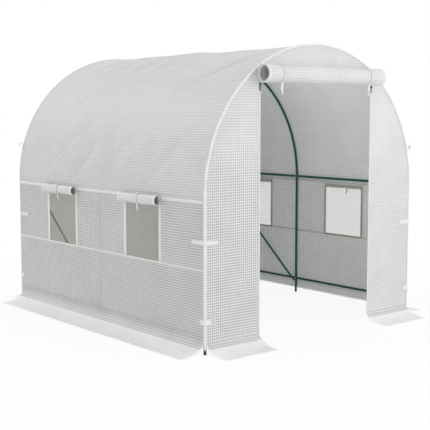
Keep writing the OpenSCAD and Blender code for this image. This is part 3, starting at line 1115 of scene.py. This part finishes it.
@dataclass
class RollTie:
    """Narrow tape tied round a rolled flap, with a knot, two tails and, on a window, a bow."""

    roll: RolledFlap
    place: float
    width: float = 0.012
    thickness: float = 0.0016
    proud: float = 0.003
    band_angles: Span = (math.radians(178), math.radians(450))
    band_steps: int = 64
    knot_angle: float = math.radians(285)
    knot_seat: float = 0.35
    knot_radius: float = 0.62
    knot_swell: float = 0.14
    knot_waves: tuple[int, int] = (3, 4)
    knot_shape: Triple = (1.15, 1.0, 0.7)
    tails: Span = (0.082, 0.056)
    tail_leans: Span = (0.15, -0.5)
    tail_steps: int = 18
    tail_bend: float = 0.012
    tail_swing: float = 0.010
    tail_slope: float = 0.12
    tail_curl: float = 0.002
    tail_curls: float = 5.0
    tail_twist: float = 0.5
    bow: float = 0.0
    bow_angle: float = math.radians(430)
    bow_gap: float = 0.06
    bow_steps: int = 40
    bow_spread: float = 0.34
    bow_rise: float = 0.35
    bow_width: float = 0.8

    def on_roll(self, angle: Array) -> tuple[Array, Array]:
        """Points just off the roll at angles round it, and the directions away from it."""
        place = np.array(self.place)
        radius = self.roll.radius + self.roll.swell(place, angle) + self.proud
        return self.roll.around(place, angle, radius)

    def seat(self, angle: float) -> tuple[Array, Array]:
        """Middle of a knot at an angle round the roll, and the direction away from it."""
        point, away = self.on_roll(np.array(angle))
        return point + away * self.width * self.knot_seat, away

    def band(self) -> Patch:
        """Tape from the back of the roll, under it and up over its front to its top."""
        path, away = self.on_roll(np.linspace(*self.band_angles, self.band_steps))
        return tape(path, self.roll.face.along, away, self.width, self.thickness)

    def knot(self, centre: Array, away: Array) -> Patch:
        """Knot: a squat ball whose radius swells and dips three times round, like crossed tape."""
        turn, rise = ball_angles(sides=24, rises=12)
        waves_round, waves_up = self.knot_waves
        swell = self.knot_swell * np.cos(waves_round * turn + waves_up * rise)
        radius = self.width * self.knot_radius * (1 + swell)
        along = self.roll.face.along
        ways = (along, np.cross(along, away), away)
        ball = (np.cos(rise) * np.cos(turn), np.cos(rise) * np.sin(turn), np.sin(rise))
        points = centre + sum((radius * (part * share))[..., None] * way
                              for part, share, way in zip(ball, self.knot_shape, ways))
        return Patch(points, stacked(turn * self.width, rise * self.width))

    def tail(self, start: Array, length: float, lean: float) -> Patch:
        """Free end that leaves the knot sideways, then hangs: its lean dies away as it falls."""
        fall = np.linspace(0, length, self.tail_steps)[:, None]
        swing = lean * (1 - np.exp(-fall / self.tail_bend)) * self.tail_swing + lean * self.tail_slope * fall
        curl = self.tail_curl * np.sin(fall / length * self.tail_curls + lean)
        along, outward = self.roll.face.along, self.roll.face.outward
        path = start + swing * along + curl * outward - fall * UP
        twist = self.tail_twist * lean * fall / length
        across = np.cos(twist) * along + np.sin(twist) * outward
        normal = np.cos(twist) * outward - np.sin(twist) * along
        return tape(path, across, normal, self.width, self.thickness)

    def petal(self, centre: Array, away: Array, way: float) -> Patch:
        """Loop of a bow: out by the sine of a half turn, and up and down by the sine of the full turn."""
        turn = np.linspace(self.bow_gap, math.pi - self.bow_gap, self.bow_steps)[:, None]
        along = self.roll.face.along
        reach, spread = self.bow * np.sin(turn), self.bow_spread * self.bow * np.sin(2 * turn)
        path = centre + way * reach * along + self.bow_rise * reach * UP + spread * np.cross(along, away)
        edge_on = np.cross(unit(np.gradient(path, axis=0)), away)
        return tape(path, away, edge_on, self.width * self.bow_width, self.thickness)

    def build(self) -> list[Patch]:
        """All the patches of the tie."""
        centre, away = self.seat(self.knot_angle)
        patches = [self.band(), self.knot(centre, away)]
        patches += [self.tail(centre, length, lean) for length, lean in zip(self.tails, self.tail_leans)]
        if self.bow:
            crown, up = self.seat(self.bow_angle)
            patches += [self.knot(crown, up), *(self.petal(crown, up, way) for way in (1.0, -1.0))]
        return patches


@dataclass
class SideWall:
    """One long side: window band, lower wall, screens, bindings, seam bands, rolled flaps and ties."""

    tunnel: Tunnel
    slack: Slack
    side: Side
    upper_band: float = 0.020
    lower_band: float = 0.014
    band_step: float = 0.03
    binding: float = 0.028
    calm_width: float = 0.05
    belly: float = 0.0035
    fold_slant: float = math.radians(35)
    roll_radius: float = 0.037
    roll_drop: float = 0.017
    roll_flat: float = 0.78
    screen_lap: float = 0.014
    screen_pitch: float = 0.0034
    screen_wire: float = 0.0009
    screen_behind: float = 0.0026
    screen_weave: float = 0.0005
    wire_sides: int = 3
    step: float = 0.012

    def __post_init__(self) -> None:
        """Seeds the folds of this side."""
        self.face = Face[self.side.name]
        self.creases = Creases(seed=WALL_SEED + self.side.value, count=44, height=0.0026, half_width=0.03,
                               half_length=0.2, slant=-self.side.value * self.fold_slant)

    def windows(self) -> Iterator[tuple[float, str]]:
        """Place along Y and name of each window."""
        return zip(self.tunnel.window_centres, ("front", "rear"))

    def lift(self, y: Array, z: Array) -> Array:
        """Slight hollow between the seams, in each bay, with faint folds, kept off the bottom rail.

        The film is flat along the bindings beside the windows, by one minus a bell curve of the distance.
        """
        t = self.tunnel
        edge = (t.window_width + self.binding) / 2
        from_binding = np.min([np.abs(np.abs(y - centre) - edge) for centre in t.window_centres], axis=0)
        calm = 1 - np.exp(-(from_binding / self.calm_width) ** 2)
        upper = np.sin(math.pi * np.clip((z - t.lower_seam) / (t.upper_seam - t.lower_seam), 0, 1))
        lower = np.sin(math.pi * np.clip((z - t.skirt_top) / (t.lower_seam - t.skirt_top), 0, 1))
        share = (upper * calm + lower) * self.slack.soft_bay(y)
        lift = share * (self.creases.lift(y, z) - self.belly)
        return self.slack.over_rail(lift, z - t.bottom_rail, self.slack.rail_floor)

    def film(self, name: str, node: str, z_stops: Sequence[float], windows: bool) -> bpy.types.Object:
        """One strip of wall film.

        Args:
            name: Name of the piece.
            node: CAD node it stands for.
            z_stops: Heights its grid has to pass through, from the lowest.
            windows: Whether the two windows are cut out of it.

        Returns:
            The new piece.
        """
        t = self.tunnel
        half = t.window_width / 2
        jambs = [centre + end * half for centre in t.window_centres for end in ENDS]
        y = spaced((-t.cover_half, *jambs, t.cover_half), self.step)[:, None]
        z = spaced(z_stops, self.step)[None, :]
        mid_y, mid_z = (y[1:] + y[:-1]) / 2, (z[:, 1:] + z[:, :-1]) / 2
        keep = np.ones((len(mid_y), mid_z.shape[1]), bool)
        area = 2 * t.cover_half * (z_stops[-1] - z_stops[0])
        if windows:
            tall = (mid_z > t.window_sill) & (mid_z < t.window_top)
            for centre in t.window_centres:
                keep &= ~((np.abs(mid_y - centre) < half) & tall)
            area -= 2 * t.window_width * (t.window_top - t.window_sill)
        patch = Patch(t.place(self.face, y, self.lift(y, z), z), stacked(y, t.wall_run(z)), keep)
        piece = make_cloth(name, patch.facing(self.face.outward), WALL_FILM, node)
        return piece

    def screen(self, centre: float, word: str) -> None:
        """Insect screen behind a window: threads both ways, three-sided, one step apart."""
        t, face = self.tunnel, self.face
        width = t.window_width + 2 * self.screen_lap
        low, high = t.window_sill - self.screen_lap, t.window_top + self.screen_lap
        turn, round_wire = circle(self.wire_sides)
        profile, uv_across = round_wire * self.screen_wire / 2, turn * self.screen_wire
        behind = -self.screen_behind
        patches = []
        for offset in spaced((-width / 2, width / 2), self.screen_pitch):
            path = t.place(face, centre + offset, behind, np.array([low, high]))
            patches.append(sweep(path, face.along, face.outward, profile, uv_across))
        for height in spaced((low, high), self.screen_pitch):
            path = t.place(face, centre + np.array([-width, width]) / 2, behind - self.screen_weave, height)
            patches.append(sweep(path, UP, face.outward, profile, uv_across))
        piece = make_piece(f"{self.side.word}_{word}_screen", patches, SCREEN_THREAD,
                           [f"{self.side.word}_window_screens"])

    def trim(self) -> None:
        """Seam bands along the wall and bindings beside the windows, all laid on the film."""
        t, face, word = self.tunnel, self.face, self.side.word
        y = spaced((-t.half_length + t.hem_width, t.half_length - t.hem_width), self.band_step)
        bands = []
        for height, width in ((t.upper_seam, self.upper_band), (t.lower_seam, self.lower_band)):
            path = t.place(face, y, self.lift(y, np.array(height)), height)
            bands.append(tape(path, UP, face.outward, width, t.tape))
        make_piece(f"{word}_seam_tapes", bands, WHITE_TAPE, [f"{word}_seam_bands"])
        z = spaced((t.window_sill, t.upper_seam - self.upper_band / 2), self.step)
        bindings = []
        for centre in t.window_centres:
            for end in ENDS:
                place = np.array(centre + end * (t.window_width + self.binding) / 2)
                path = t.place(face, place, self.lift(place, z), z)
                bindings.append(tape(path, face.along, face.outward, self.binding, t.tape))
        make_piece(f"{word}_window_tapes", bindings, WHITE_TAPE, [f"{word}_window_bindings"])

    def flaps(self) -> None:
        """Rolled window flaps with their ties."""
        t, side = self.tunnel, self.side
        ties = []
        for number, (centre, word) in enumerate(self.windows()):
            roll = RolledFlap(
                tunnel=t, name=f"{side.word}_{word}_window_roll", face=self.face, middle=centre,
                height=t.upper_seam - self.roll_drop, radius=self.roll_radius, flat=self.roll_flat,
                length=t.window_width + 2 * self.binding, tail=self.roll_drop + self.upper_band / 2,
                turns=2.05, gap=0.0026, ties=(0.0,), node=f"{side.word}_window_rolls",
                seed=ROLL_SEED + 2 * number + side.value,
            )
            roll.build()
            ties += RollTie(roll, place=0.0, tails=(0.045, 0.03), bow=0.022).build()
        make_piece(f"{side.word}_window_tie_tapes", ties, WHITE_TAPE, [f"{side.word}_window_ties"])

    def build(self) -> None:
        """Makes the whole side."""
        t, word = self.tunnel, self.side.word
        self.film(f"{word}_window_wall", f"{word}_window_band",
                  (t.lower_seam, t.window_sill, t.window_top, t.upper_seam), True)
        self.film(f"{word}_lower_cover", f"{word}_lower_wall", (t.skirt_top, t.lower_seam), False)
        for centre, place in self.windows():
            self.screen(centre, place)
        self.trim()
        self.flaps()


@dataclass
class GroundSkirt:
    """A skirt that curves from a face to the ground and lies on it."""

    tunnel: Tunnel
    seed: int
    name: str
    node: str
    face: Face
    start: float
    end: float
    ripple: float = 0.0022
    ripple_mean: float = 1.2
    free_from: float = 0.25
    folds_per_metre: int = 26
    fold_starts: Span = (0.01, 0.08)
    edge_wave: float = 0.0012
    edge_pace: float = 7.0
    ground: float = 0.0008
    step: float = 0.012
    run_step: float = 0.008

    WAVES = ((1.0, 13, 0), (0.7, 29, 9), (0.5, 61, -14))  # share, pace along and down the skirt

    def lift(self, along: Array, run: Array, free: Array, phases: Array) -> Array:
        """Ripples that grow towards the free edge, and folds that run down from the wall.

        Args:
            along: Distance along the face.
            run: Distance down the cloth from the wall.
            free: How free the cloth is, from 0 at the wall to 1 at its edge.
            phases: Start of each wave.

        Returns:
            Lift off the smooth curve.
        """
        waves = sum(share * np.sin(pace * along + phase + down * run)
                    for (share, pace, down), phase in zip(self.WAVES, phases))
        folds = Creases(seed=self.seed, count=int(self.folds_per_metre * (self.end - self.start)),
                        height=0.0022, half_width=0.012, half_length=0.09, slant=QUARTER,
                        scatter=math.radians(16))
        ripples = self.ripple * free * (waves + self.ripple_mean) / 2
        return ripples + folds.lift(along, run) * smooth_step(run, *self.fold_starts)

    def build(self) -> bpy.types.Object:
        """Makes the skirt: one curve from the wall out to a rippled edge on the ground."""
        t = self.tunnel
        angles, reached = t.skirt_curve
        length = reached[-1]
        along = spaced((self.start, self.end), self.step)[:, None]
        run = spaced((0, length), self.run_step)[None, :]
        angle = np.interp(run, reached, angles)
        out, up = t.skirt_at(angle)
        tilt = np.arctan2(t.skirt_reach * np.sin(angle), t.skirt_top * np.cos(angle))
        *phases, edge_phase = np.random.default_rng(self.seed).uniform(0, FULL_TURN, len(self.WAVES) + 1)
        free = smooth_step(run, self.free_from * length, length)
        lift = self.lift(along, run, free, phases)
        edge = self.edge_wave * free * np.sin(self.edge_pace * along + edge_phase)
        points = t.place(self.face, along, out + edge + lift * np.cos(tilt),
                         np.maximum(up + lift * np.sin(tilt), self.ground))
        patch = Patch(points, stacked(along, run)).facing(self.face.outward + UP)
        skirt = make_cloth(self.name, patch, SKIRT_FILM, self.node)
        return skirt


@dataclass
class EndPanel:
    """Upright panel of an end wall, under the arch, between two places along X and from a height up."""

    tunnel: Tunnel
    seed: int
    name: str
    node: str
    film: GridCloth
    face: Face
    start: float
    end: float
    base: float
    belly: float = 0.0025
    free_width: float = 0.12
    base_calm: Span = (-0.05, 0.1)
    behind: float = 0.0004
    step: float = 0.014
    arch_samples: int = 2001

    def arch(self, x: Array) -> Array:
        """Height of the arch over a place: the wall's height plus the circle's."""
        t = self.tunnel
        return t.wall_height + np.sqrt(np.maximum(t.half_width ** 2 - x ** 2, 0.0))

    def build(self) -> bpy.types.Object:
        """Makes the panel on columns evenly spaced round the arch, each cut off at the arch."""
        t = self.tunnel
        first, last = (math.acos(np.clip(-x / t.half_width, -1, 1)) for x in (self.start, self.end))
        turn = spaced((first, last), self.step)[:, None]
        x = -t.half_width * np.cos(turn)
        share = spaced((0, 1), self.step / (self.arch(np.array(0.0)) - self.base))[None, :]
        z = self.base + share * (self.arch(x) - self.base)
        inset = np.minimum(self.arch(x) - z, np.minimum(x - self.start, self.end - x))
        free = smooth_step(inset, 0.0, self.free_width) * smooth_step(z - self.base, *self.base_calm)
        folds = Creases(seed=self.seed, count=36, height=0.0022, half_width=0.02, half_length=0.22,
                        slant=0.0, scatter=math.radians(24)).lift(x, z)
        points = t.place(self.face, x, free * (folds - self.belly) - self.behind, z)
        patch = Patch(points, stacked(x, z)).facing(self.face.outward)
        panel = make_cloth(self.name, patch, self.film, self.node)
        return panel


def soft_power(value: Array, power: float) -> Array:
    """Size of a value to a power, with the value's own sign."""
    return np.sign(value) * np.abs(value) ** power


@dataclass
class Doorway:
    """Rolled door over the doorway, with its ties, zips and pulls."""

    tunnel: Tunnel
    radius: float = 0.062
    rise: float = 0.045
    overhang: float = 0.030
    tie_places: Span = (-0.42, 0.42)
    knot_angle: float = math.radians(292)
    zip_width: float = 0.013
    zip_step: float = 0.03
    coil_radius: float = 0.0018
    coil_inset: float = 0.0016
    tooth: float = 0.0006
    tooth_pitch: float = 0.0032
    tooth_steps: int = 4
    slider: Triple = (0.012, 0.016, 0.006)
    slider_power: float = 0.45
    slider_taper: float = 0.25
    slider_lift: float = 0.0035
    slider_drop: float = 0.002

    def roll(self) -> None:
        """The rolled door and its two ties."""
        t = self.tunnel
        roll = RolledFlap(
            tunnel=t, name="door_roll_cloth", face=Face.FRONT, middle=0.0, height=t.door_head + self.rise,
            radius=self.radius, length=2 * (t.door_half + self.overhang), tail=self.radius, turns=4.6,
            gap=0.0024, ties=self.tie_places, node="door_roll", seed=DOOR_SEED, waist=0.010,
        )
        roll.build()
        ties = []
        for place in self.tie_places:
            ties += RollTie(roll, place, knot_angle=self.knot_angle).build()
        make_piece("door_tie_tapes", ties, WHITE_TAPE, ["door_ties"])

    def zip_middle(self, side: Side) -> float:
        """Place along X of the middle of one side's zip tape."""
        return side.value * (self.tunnel.door_half + self.zip_width / 2)

    def zips(self) -> None:
        """Zip tapes at both edges of the doorway, with a coil of teeth on the free edge.

        The coil is a round bead whose radius rises and falls once for each tooth.
        """
        t, face = self.tunnel, Face.FRONT
        z = spaced((t.skirt_top, t.door_head), self.zip_step)
        fine = np.arange(t.skirt_top, t.door_head, self.tooth_pitch / self.tooth_steps)
        teeth = np.cos(FULL_TURN * (fine - t.skirt_top) / self.tooth_pitch)
        tapes, coils = [], []
        for side in Side:
            path = t.place(face, self.zip_middle(side), 0.0, z)
            tapes.append(tape(path, face.along, face.outward, self.zip_width, t.tape))
            edge = t.place(face, side.value * (t.door_half + self.coil_inset), t.tape, fine)
            coils.append(tube(edge, self.coil_radius + self.tooth * teeth, face.along, face.outward, sides=6))
        make_piece("door_zip_tapes", tapes, WHITE_TAPE, ["door_zips"])
        make_piece("door_zip_teeth", coils, WHITE_PLASTIC)

    def sliders(self) -> None:
        """Sliders that carry the pulls: a rounded wedge, a superellipse in plan, wider at its top."""
        t, power = self.tunnel, self.slider_power
        wide, tall, deep = self.slider
        turn, rise = ball_angles(sides=32, rises=16)
        girth = soft_power(np.cos(rise), power)
        across = girth * soft_power(np.cos(turn), power) * wide / 2
        up = girth * soft_power(np.sin(turn), power) * tall / 2
        out = t.tape + self.slider_lift + deep / 2 + soft_power(np.sin(rise), power) * deep / 2
        taper = 1 + self.slider_taper * up / tall * 2
        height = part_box("zip_pulls")[1].z - self.slider_drop
        patches = []
        for side in Side:
            points = t.place(Face.FRONT, self.zip_middle(side) + across * taper, out, height + up)
            patches.append(Patch(points, stacked(turn, rise) * UV_PER_RADIAN))
        make_piece("zip_sliders", patches, BLACK_PLASTIC)
        paint_node("zip_pulls", BLACK_PLASTIC)

    def build(self) -> None:
        """Makes the door's pieces."""
        self.roll()
        self.zips()
        self.sliders()


@dataclass
class ArchHem:
    """White hem folded round the edge of an end arch, over the end panel and back over the roof."""

    tunnel: Tunnel
    face: Face
    node: str
    thickness: float = 0.0016
    bend: float = 0.0045
    bend_steps: int = 9
    end_inset: float = 0.002
    step: float = 0.012

    def fold(self, inset: float) -> Array:
        """Line of the fold: in over the panel, round the edge in a quarter circle, and back over the roof.

        Args:
            inset: Distance below the outer face of the hem.

        Returns:
            Points of outward distance from the arch and outward distance from the end.
        """
        t = self.tunnel
        top, radius, centre = t.tape - inset, self.bend - inset, t.tape - self.bend
        turn = np.linspace(0, QUARTER, self.bend_steps)
        corner = stacked(centre + radius * np.sin(turn), centre + radius * np.cos(turn))
        return np.concatenate([[[-t.hem_width, top], [-t.hem_width / 2, top]], corner,
                               [[top, -t.hem_width / 2], [top, -t.hem_width]]])

    def build(self) -> bpy.types.Object:
        """Makes the hem: the fold's closed section carried up one leg, over the arch and down the other."""
        t = self.tunnel
        outer, inner = self.fold(0.0), self.fold(self.thickness)
        profile = np.concatenate([outer, inner[::-1], outer[:1]])
        reach = length_along(outer)
        from_edge = np.minimum(reach, reach[-1] - reach)
        uv_across = np.concatenate([from_edge, from_edge[::-1], from_edge[:1]])
        foot, quarter = t.wall_run(t.hem_foot), QUARTER * t.half_width
        x, z, nx, nz = t.section(spaced((-foot, -quarter, 0, quarter, foot), self.step))
        path = stacked(x, self.face.value[1] * t.half_length, z)
        longer, _, outwards = capped(path, stacked(nx, 0.0, nz))
        patch = sweep(longer, outwards, self.face.outward, profile, uv_across)
        for end in (0, -1):
            patch.points[end] = longer[end] - outwards[end] * self.end_inset
        return make_piece(f"{self.node}_tape", [patch], WHITE_TAPE, [self.node])


@dataclass
class CornerStraps:
    """Straps bent round the four corners over the hems."""

    tunnel: Tunnel
    name: str
    node: str
    height: float
    width: float
    end_length: float
    side_length: float
    thickness: float = 0.0014
    bend: float = 0.005
    bend_steps: int = 9
    air: float = 0.0002
    hem_ramp: Span = (-0.003, 0.005)
    step: float = 0.004

    def over_hem(self, from_corner: Array) -> Array:
        """Lift off the film at a distance from the corner: over the hem, then down beside it."""
        low, high = (self.tunnel.hem_width + offset for offset in self.hem_ramp)
        return self.air + self.tunnel.tape * (1 - smooth_step(from_corner, low, high))

    def path(self, side: Side, end: int) -> Array:
        """Middle of one strap's back: along the end, up over the hem, round the corner and along the side.

        Args:
            side: Left or right corner.
            end: -1 for the front, 1 for the back.

        Returns:
            Points from the strap's end on the end panel to its end on the wall.
        """
        t = self.tunnel
        inner, radius = self.bend - t.tape, self.bend + self.air
        on_end = spaced((self.end_length, inner), self.step)
        on_side = spaced((inner, self.side_length), self.step)
        turn = np.linspace(0, QUARTER, self.bend_steps)[1:-1]
        across = np.concatenate([-on_end, radius * np.sin(turn) - inner, self.over_hem(on_side)])
        deep = np.concatenate([self.over_hem(on_end), radius * np.cos(turn) - inner, -on_side])
        return stacked(side.value * (t.half_width + across), end * (t.half_length + deep), self.height)

    def build(self) -> bpy.types.Object:
        """Makes all four straps as one piece."""
        patches = []
        for side in Side:
            for end in ENDS:
                path = self.path(side, end)
                normal = unit(np.cross(UP, np.gradient(path, axis=0))) * (side.value * end)
                patches.append(tape(path, UP, normal, self.width, self.thickness))
        return make_piece(self.name, patches, WHITE_TAPE, [self.node])


@dataclass
class GuyLoops:
    """Webbing loops for guy ropes, sewn to the end hems."""

    tunnel: Tunnel
    angle: float = math.radians(15.7)
    reach: float = 0.040
    width: float = 0.028
    thickness: float = 0.0025
    leg_steps: int = 5
    turn_steps: int = 25

    def loop(self, side: Side, end: int) -> Patch:
        """One loop: webbing straight out from the hem, round a half circle and straight back."""
        t = self.tunnel
        radius = self.width / 2
        straight = self.reach - radius
        leg = np.linspace(0.0, straight, self.leg_steps + 1)[:-1]
        turn = np.linspace(-QUARTER, QUARTER, self.turn_steps)
        out = np.concatenate([leg, straight + radius * np.cos(turn), leg[::-1]])[:, None]
        way = np.pad(turn, self.leg_steps, mode="edge")[:, None]
        away = side.value * math.cos(self.angle) * ACROSS + math.sin(self.angle) * UP
        up = math.cos(self.angle) * UP - side.value * math.sin(self.angle) * ACROSS
        hem = np.array([0.0, end * (t.half_length - t.hem_width / 2), t.wall_height])
        path = hem + (t.half_width + t.tape + out) * away + radius * np.sin(way) * up
        inward = -(np.cos(way) * away + np.sin(way) * up)
        return tape(path, ALONG, inward, t.hem_width, self.thickness)

    def build(self) -> bpy.types.Object:
        """Makes the four loops as one piece."""
        patches = [self.loop(side, end) for side in Side for end in ENDS]
        return make_piece("guy_loop_webbing", patches, WHITE_TAPE, ["guy_loops"])


@dataclass(frozen=True)
class Lamp:
    """Square soft lamp that faces a point. The camera doesn't see it."""

    name: str
    place: Triple
    aim: Triple
    size: float
    power: float

    def build(self) -> None:
        """Puts the lamp in the scene."""
        data = bpy.data.lights.new(self.name, "AREA")
        data.size = self.size
        data.energy = self.power
        lamp = add_object(self.name, data)
        lamp.location = self.place
        way = Vector([aim - place for aim, place in zip(self.aim, self.place)])
        lamp.rotation_euler = way.to_track_quat("-Z", "Y").to_euler()
        lamp.visible_camera = False


@dataclass
class Studio:
    """Pale floor, soft light and the camera."""

    camera_place: Triple = (-4.7025, -5.7631, 1.5206)
    camera_yaw: float = 39.692
    camera_pitch: float = -6.0514
    focal_pixels: float = 946.45
    picture_pixels: float = 430.0
    sensor: float = 36.0
    floor_half: float = 40.0
    floor_near: float = 1.6
    floor_far: float = 4.0
    floor_white: float = 0.9
    floor_matt: Colour = (0.86, 0.86, 0.86)
    white: Colour = (1.0, 1.0, 1.0)
    ambient: float = 0.87
    lamps: tuple[Lamp, ...] = (
        Lamp("front_key", place=(2.4, -7.5, 2.8), aim=(0.2, -0.5, 1.0), size=4.0, power=134.0),
        Lamp("rear_fill", place=(-3.0, 4.5, 5.5), aim=(-0.3, 0.0, 1.2), size=2.5, power=68.0),
    )
    globe_place: Triple = (0.1, -0.7, 1.3)
    globe_radius: float = 0.25
    globe_power: float = 6.8

    def camera(self) -> None:
        """Camera at the photograph's place and angle; the lens follows from its focal length in pixels."""
        data = bpy.data.cameras.new("camera")
        data.sensor_width = self.sensor
        data.lens = self.focal_pixels * self.sensor / self.picture_pixels
        camera = add_object("camera", data)
        camera.location = self.camera_place
        camera.rotation_euler = (math.radians(90 + self.camera_pitch), 0.0, math.radians(-self.camera_yaw))
        bpy.context.scene.camera = camera

    def seen_rays(self, bench: NodeBench) -> Socket:
        """1 for rays that show the background: from the camera, a gloss or a transmission."""
        path = bench.add("LightPath").outputs
        return bench.math("MAXIMUM", path["Is Camera Ray"],
                          bench.math("MAXIMUM", path["Is Glossy Ray"], path["Is Transmission Ray"]))

    def floor(self) -> None:
        """Plain pale floor, mostly white where it is seen, and all white further from the tunnel."""
        mesh = bpy.data.meshes.new("floor")
        corners = self.floor_half * np.array([(-1, -1, 0), (1, -1, 0), (1, 1, 0), (-1, 1, 0)])
        mesh.from_pydata(corners, [], [(0, 1, 2, 3)])
        material = bpy.data.materials.new("pale_floor")
        bench = NodeBench(material)
        matt = bench.add("BsdfDiffuse", Color=self.floor_matt).outputs[0]
        glow = bench.add("Emission", Color=self.white, Strength=1.0).outputs[0]
        away = bench.add("VectorMath", {"operation": "LENGTH"}, Vector=bench.object_place())
        whiter = bench.ramp(away.outputs["Value"], self.floor_near, self.floor_far, self.floor_white)
        bench.close(bench.mixed(bench.math("MULTIPLY", self.seen_rays(bench), whiter), matt, glow))
        mesh.materials.append(material)
        add_object("floor", mesh)

    def world(self) -> None:
        """Even white surroundings: full white where they are seen, dimmer as light."""
        world = bpy.data.worlds.new("studio")
        bench = NodeBench(world)
        strength = bench.ramp(self.seen_rays(bench), 0.0, 1.0, self.ambient)
        bench.close(bench.add("Background", Color=self.white, Strength=strength).outputs[0], "OutputWorld")
        bpy.context.scene.world = world

    def inside_globe(self) -> None:
        """Big dim globe under the ridge, which fills the shade inside the tunnel."""
        data = bpy.data.lights.new("inside_fill", "POINT")
        data.energy = self.globe_power
        data.shadow_soft_size = self.globe_radius
        globe = add_object("inside_fill", data)
        globe.location = self.globe_place
        globe.visible_camera = globe.visible_glossy = globe.visible_transmission = False

    def build(self) -> None:
        """Sets up the studio."""
        bpy.context.scene.view_settings.view_transform = "Standard"
        self.camera()
        self.floor()
        self.world()
        for lamp in self.lamps:
            lamp.build()
        self.inside_globe()


def build_ends(tunnel: Tunnel) -> None:
    """Makes the panels of both end walls."""
    half, door, low = tunnel.half_width, tunnel.door_half, tunnel.skirt_top
    panels = (
        ("front_left_cover", "front_left_panel", END_FILM, Face.FRONT, -half, -door, low),
        ("front_right_cover", "front_right_panel", PALE_FILM, Face.FRONT, door, half, low),
        ("front_gable_cover", "front_gable", PALE_FILM, Face.FRONT, -door, door, tunnel.door_head),
        ("back_cover", "back_panel", PALE_FILM, Face.BACK, -half, half, low),
    )
    for seed, panel in enumerate(panels, PANEL_SEED):
        EndPanel(tunnel, seed, *panel).build()


def build_skirts(tunnel: Tunnel) -> None:
    """Makes the skirts of all four faces, each from hem to hem or from the hem to the doorway."""
    door, wide = tunnel.door_half, tunnel.half_width - tunnel.hem_width
    deep = tunnel.half_length - tunnel.hem_width
    skirts = (
        ("left_ground_skirt", "left_skirt", Face.LEFT, -deep, deep),
        ("right_ground_skirt", "right_skirt", Face.RIGHT, -deep, deep),
        ("front_left_ground_skirt", "front_skirts", Face.FRONT, -wide, -door),
        ("front_right_ground_skirt", "front_skirts", Face.FRONT, door, wide),
        ("back_ground_skirt", "back_skirt", Face.BACK, -wide, wide),
    )
    for seed, skirt in enumerate(skirts, SKIRT_SEED):
        GroundSkirt(tunnel, seed, *skirt).build()


def main() -> None:
    """Builds every sub-assembly in order."""
    logging.basicConfig(level=logging.INFO, format="%(name)s %(message)s")
    tunnel = Tunnel.from_frame()
    slack = Slack(tunnel)
    Studio().build()
    TubeFrame(tunnel).build()
    RoofCover(tunnel, slack).build()
    for side in Side:
        SideWall(tunnel, slack, side).build()
    build_ends(tunnel)
    build_skirts(tunnel)
    Doorway(tunnel).build()
    ArchHem(tunnel, Face.FRONT, "front_arch_hem").build()
    ArchHem(tunnel, Face.BACK, "back_arch_hem").build()
    CornerStraps(tunnel, "long_strap_tapes", "long_corner_straps", height=0.717, width=0.025,
                 end_length=0.110, side_length=0.130).build()
    CornerStraps(tunnel, "short_strap_tapes", "short_corner_straps", height=0.208, width=0.038,
                 end_length=0.050, side_length=0.050).build()
    GuyLoops(tunnel).build()


if __name__ == "__main__":
    main()
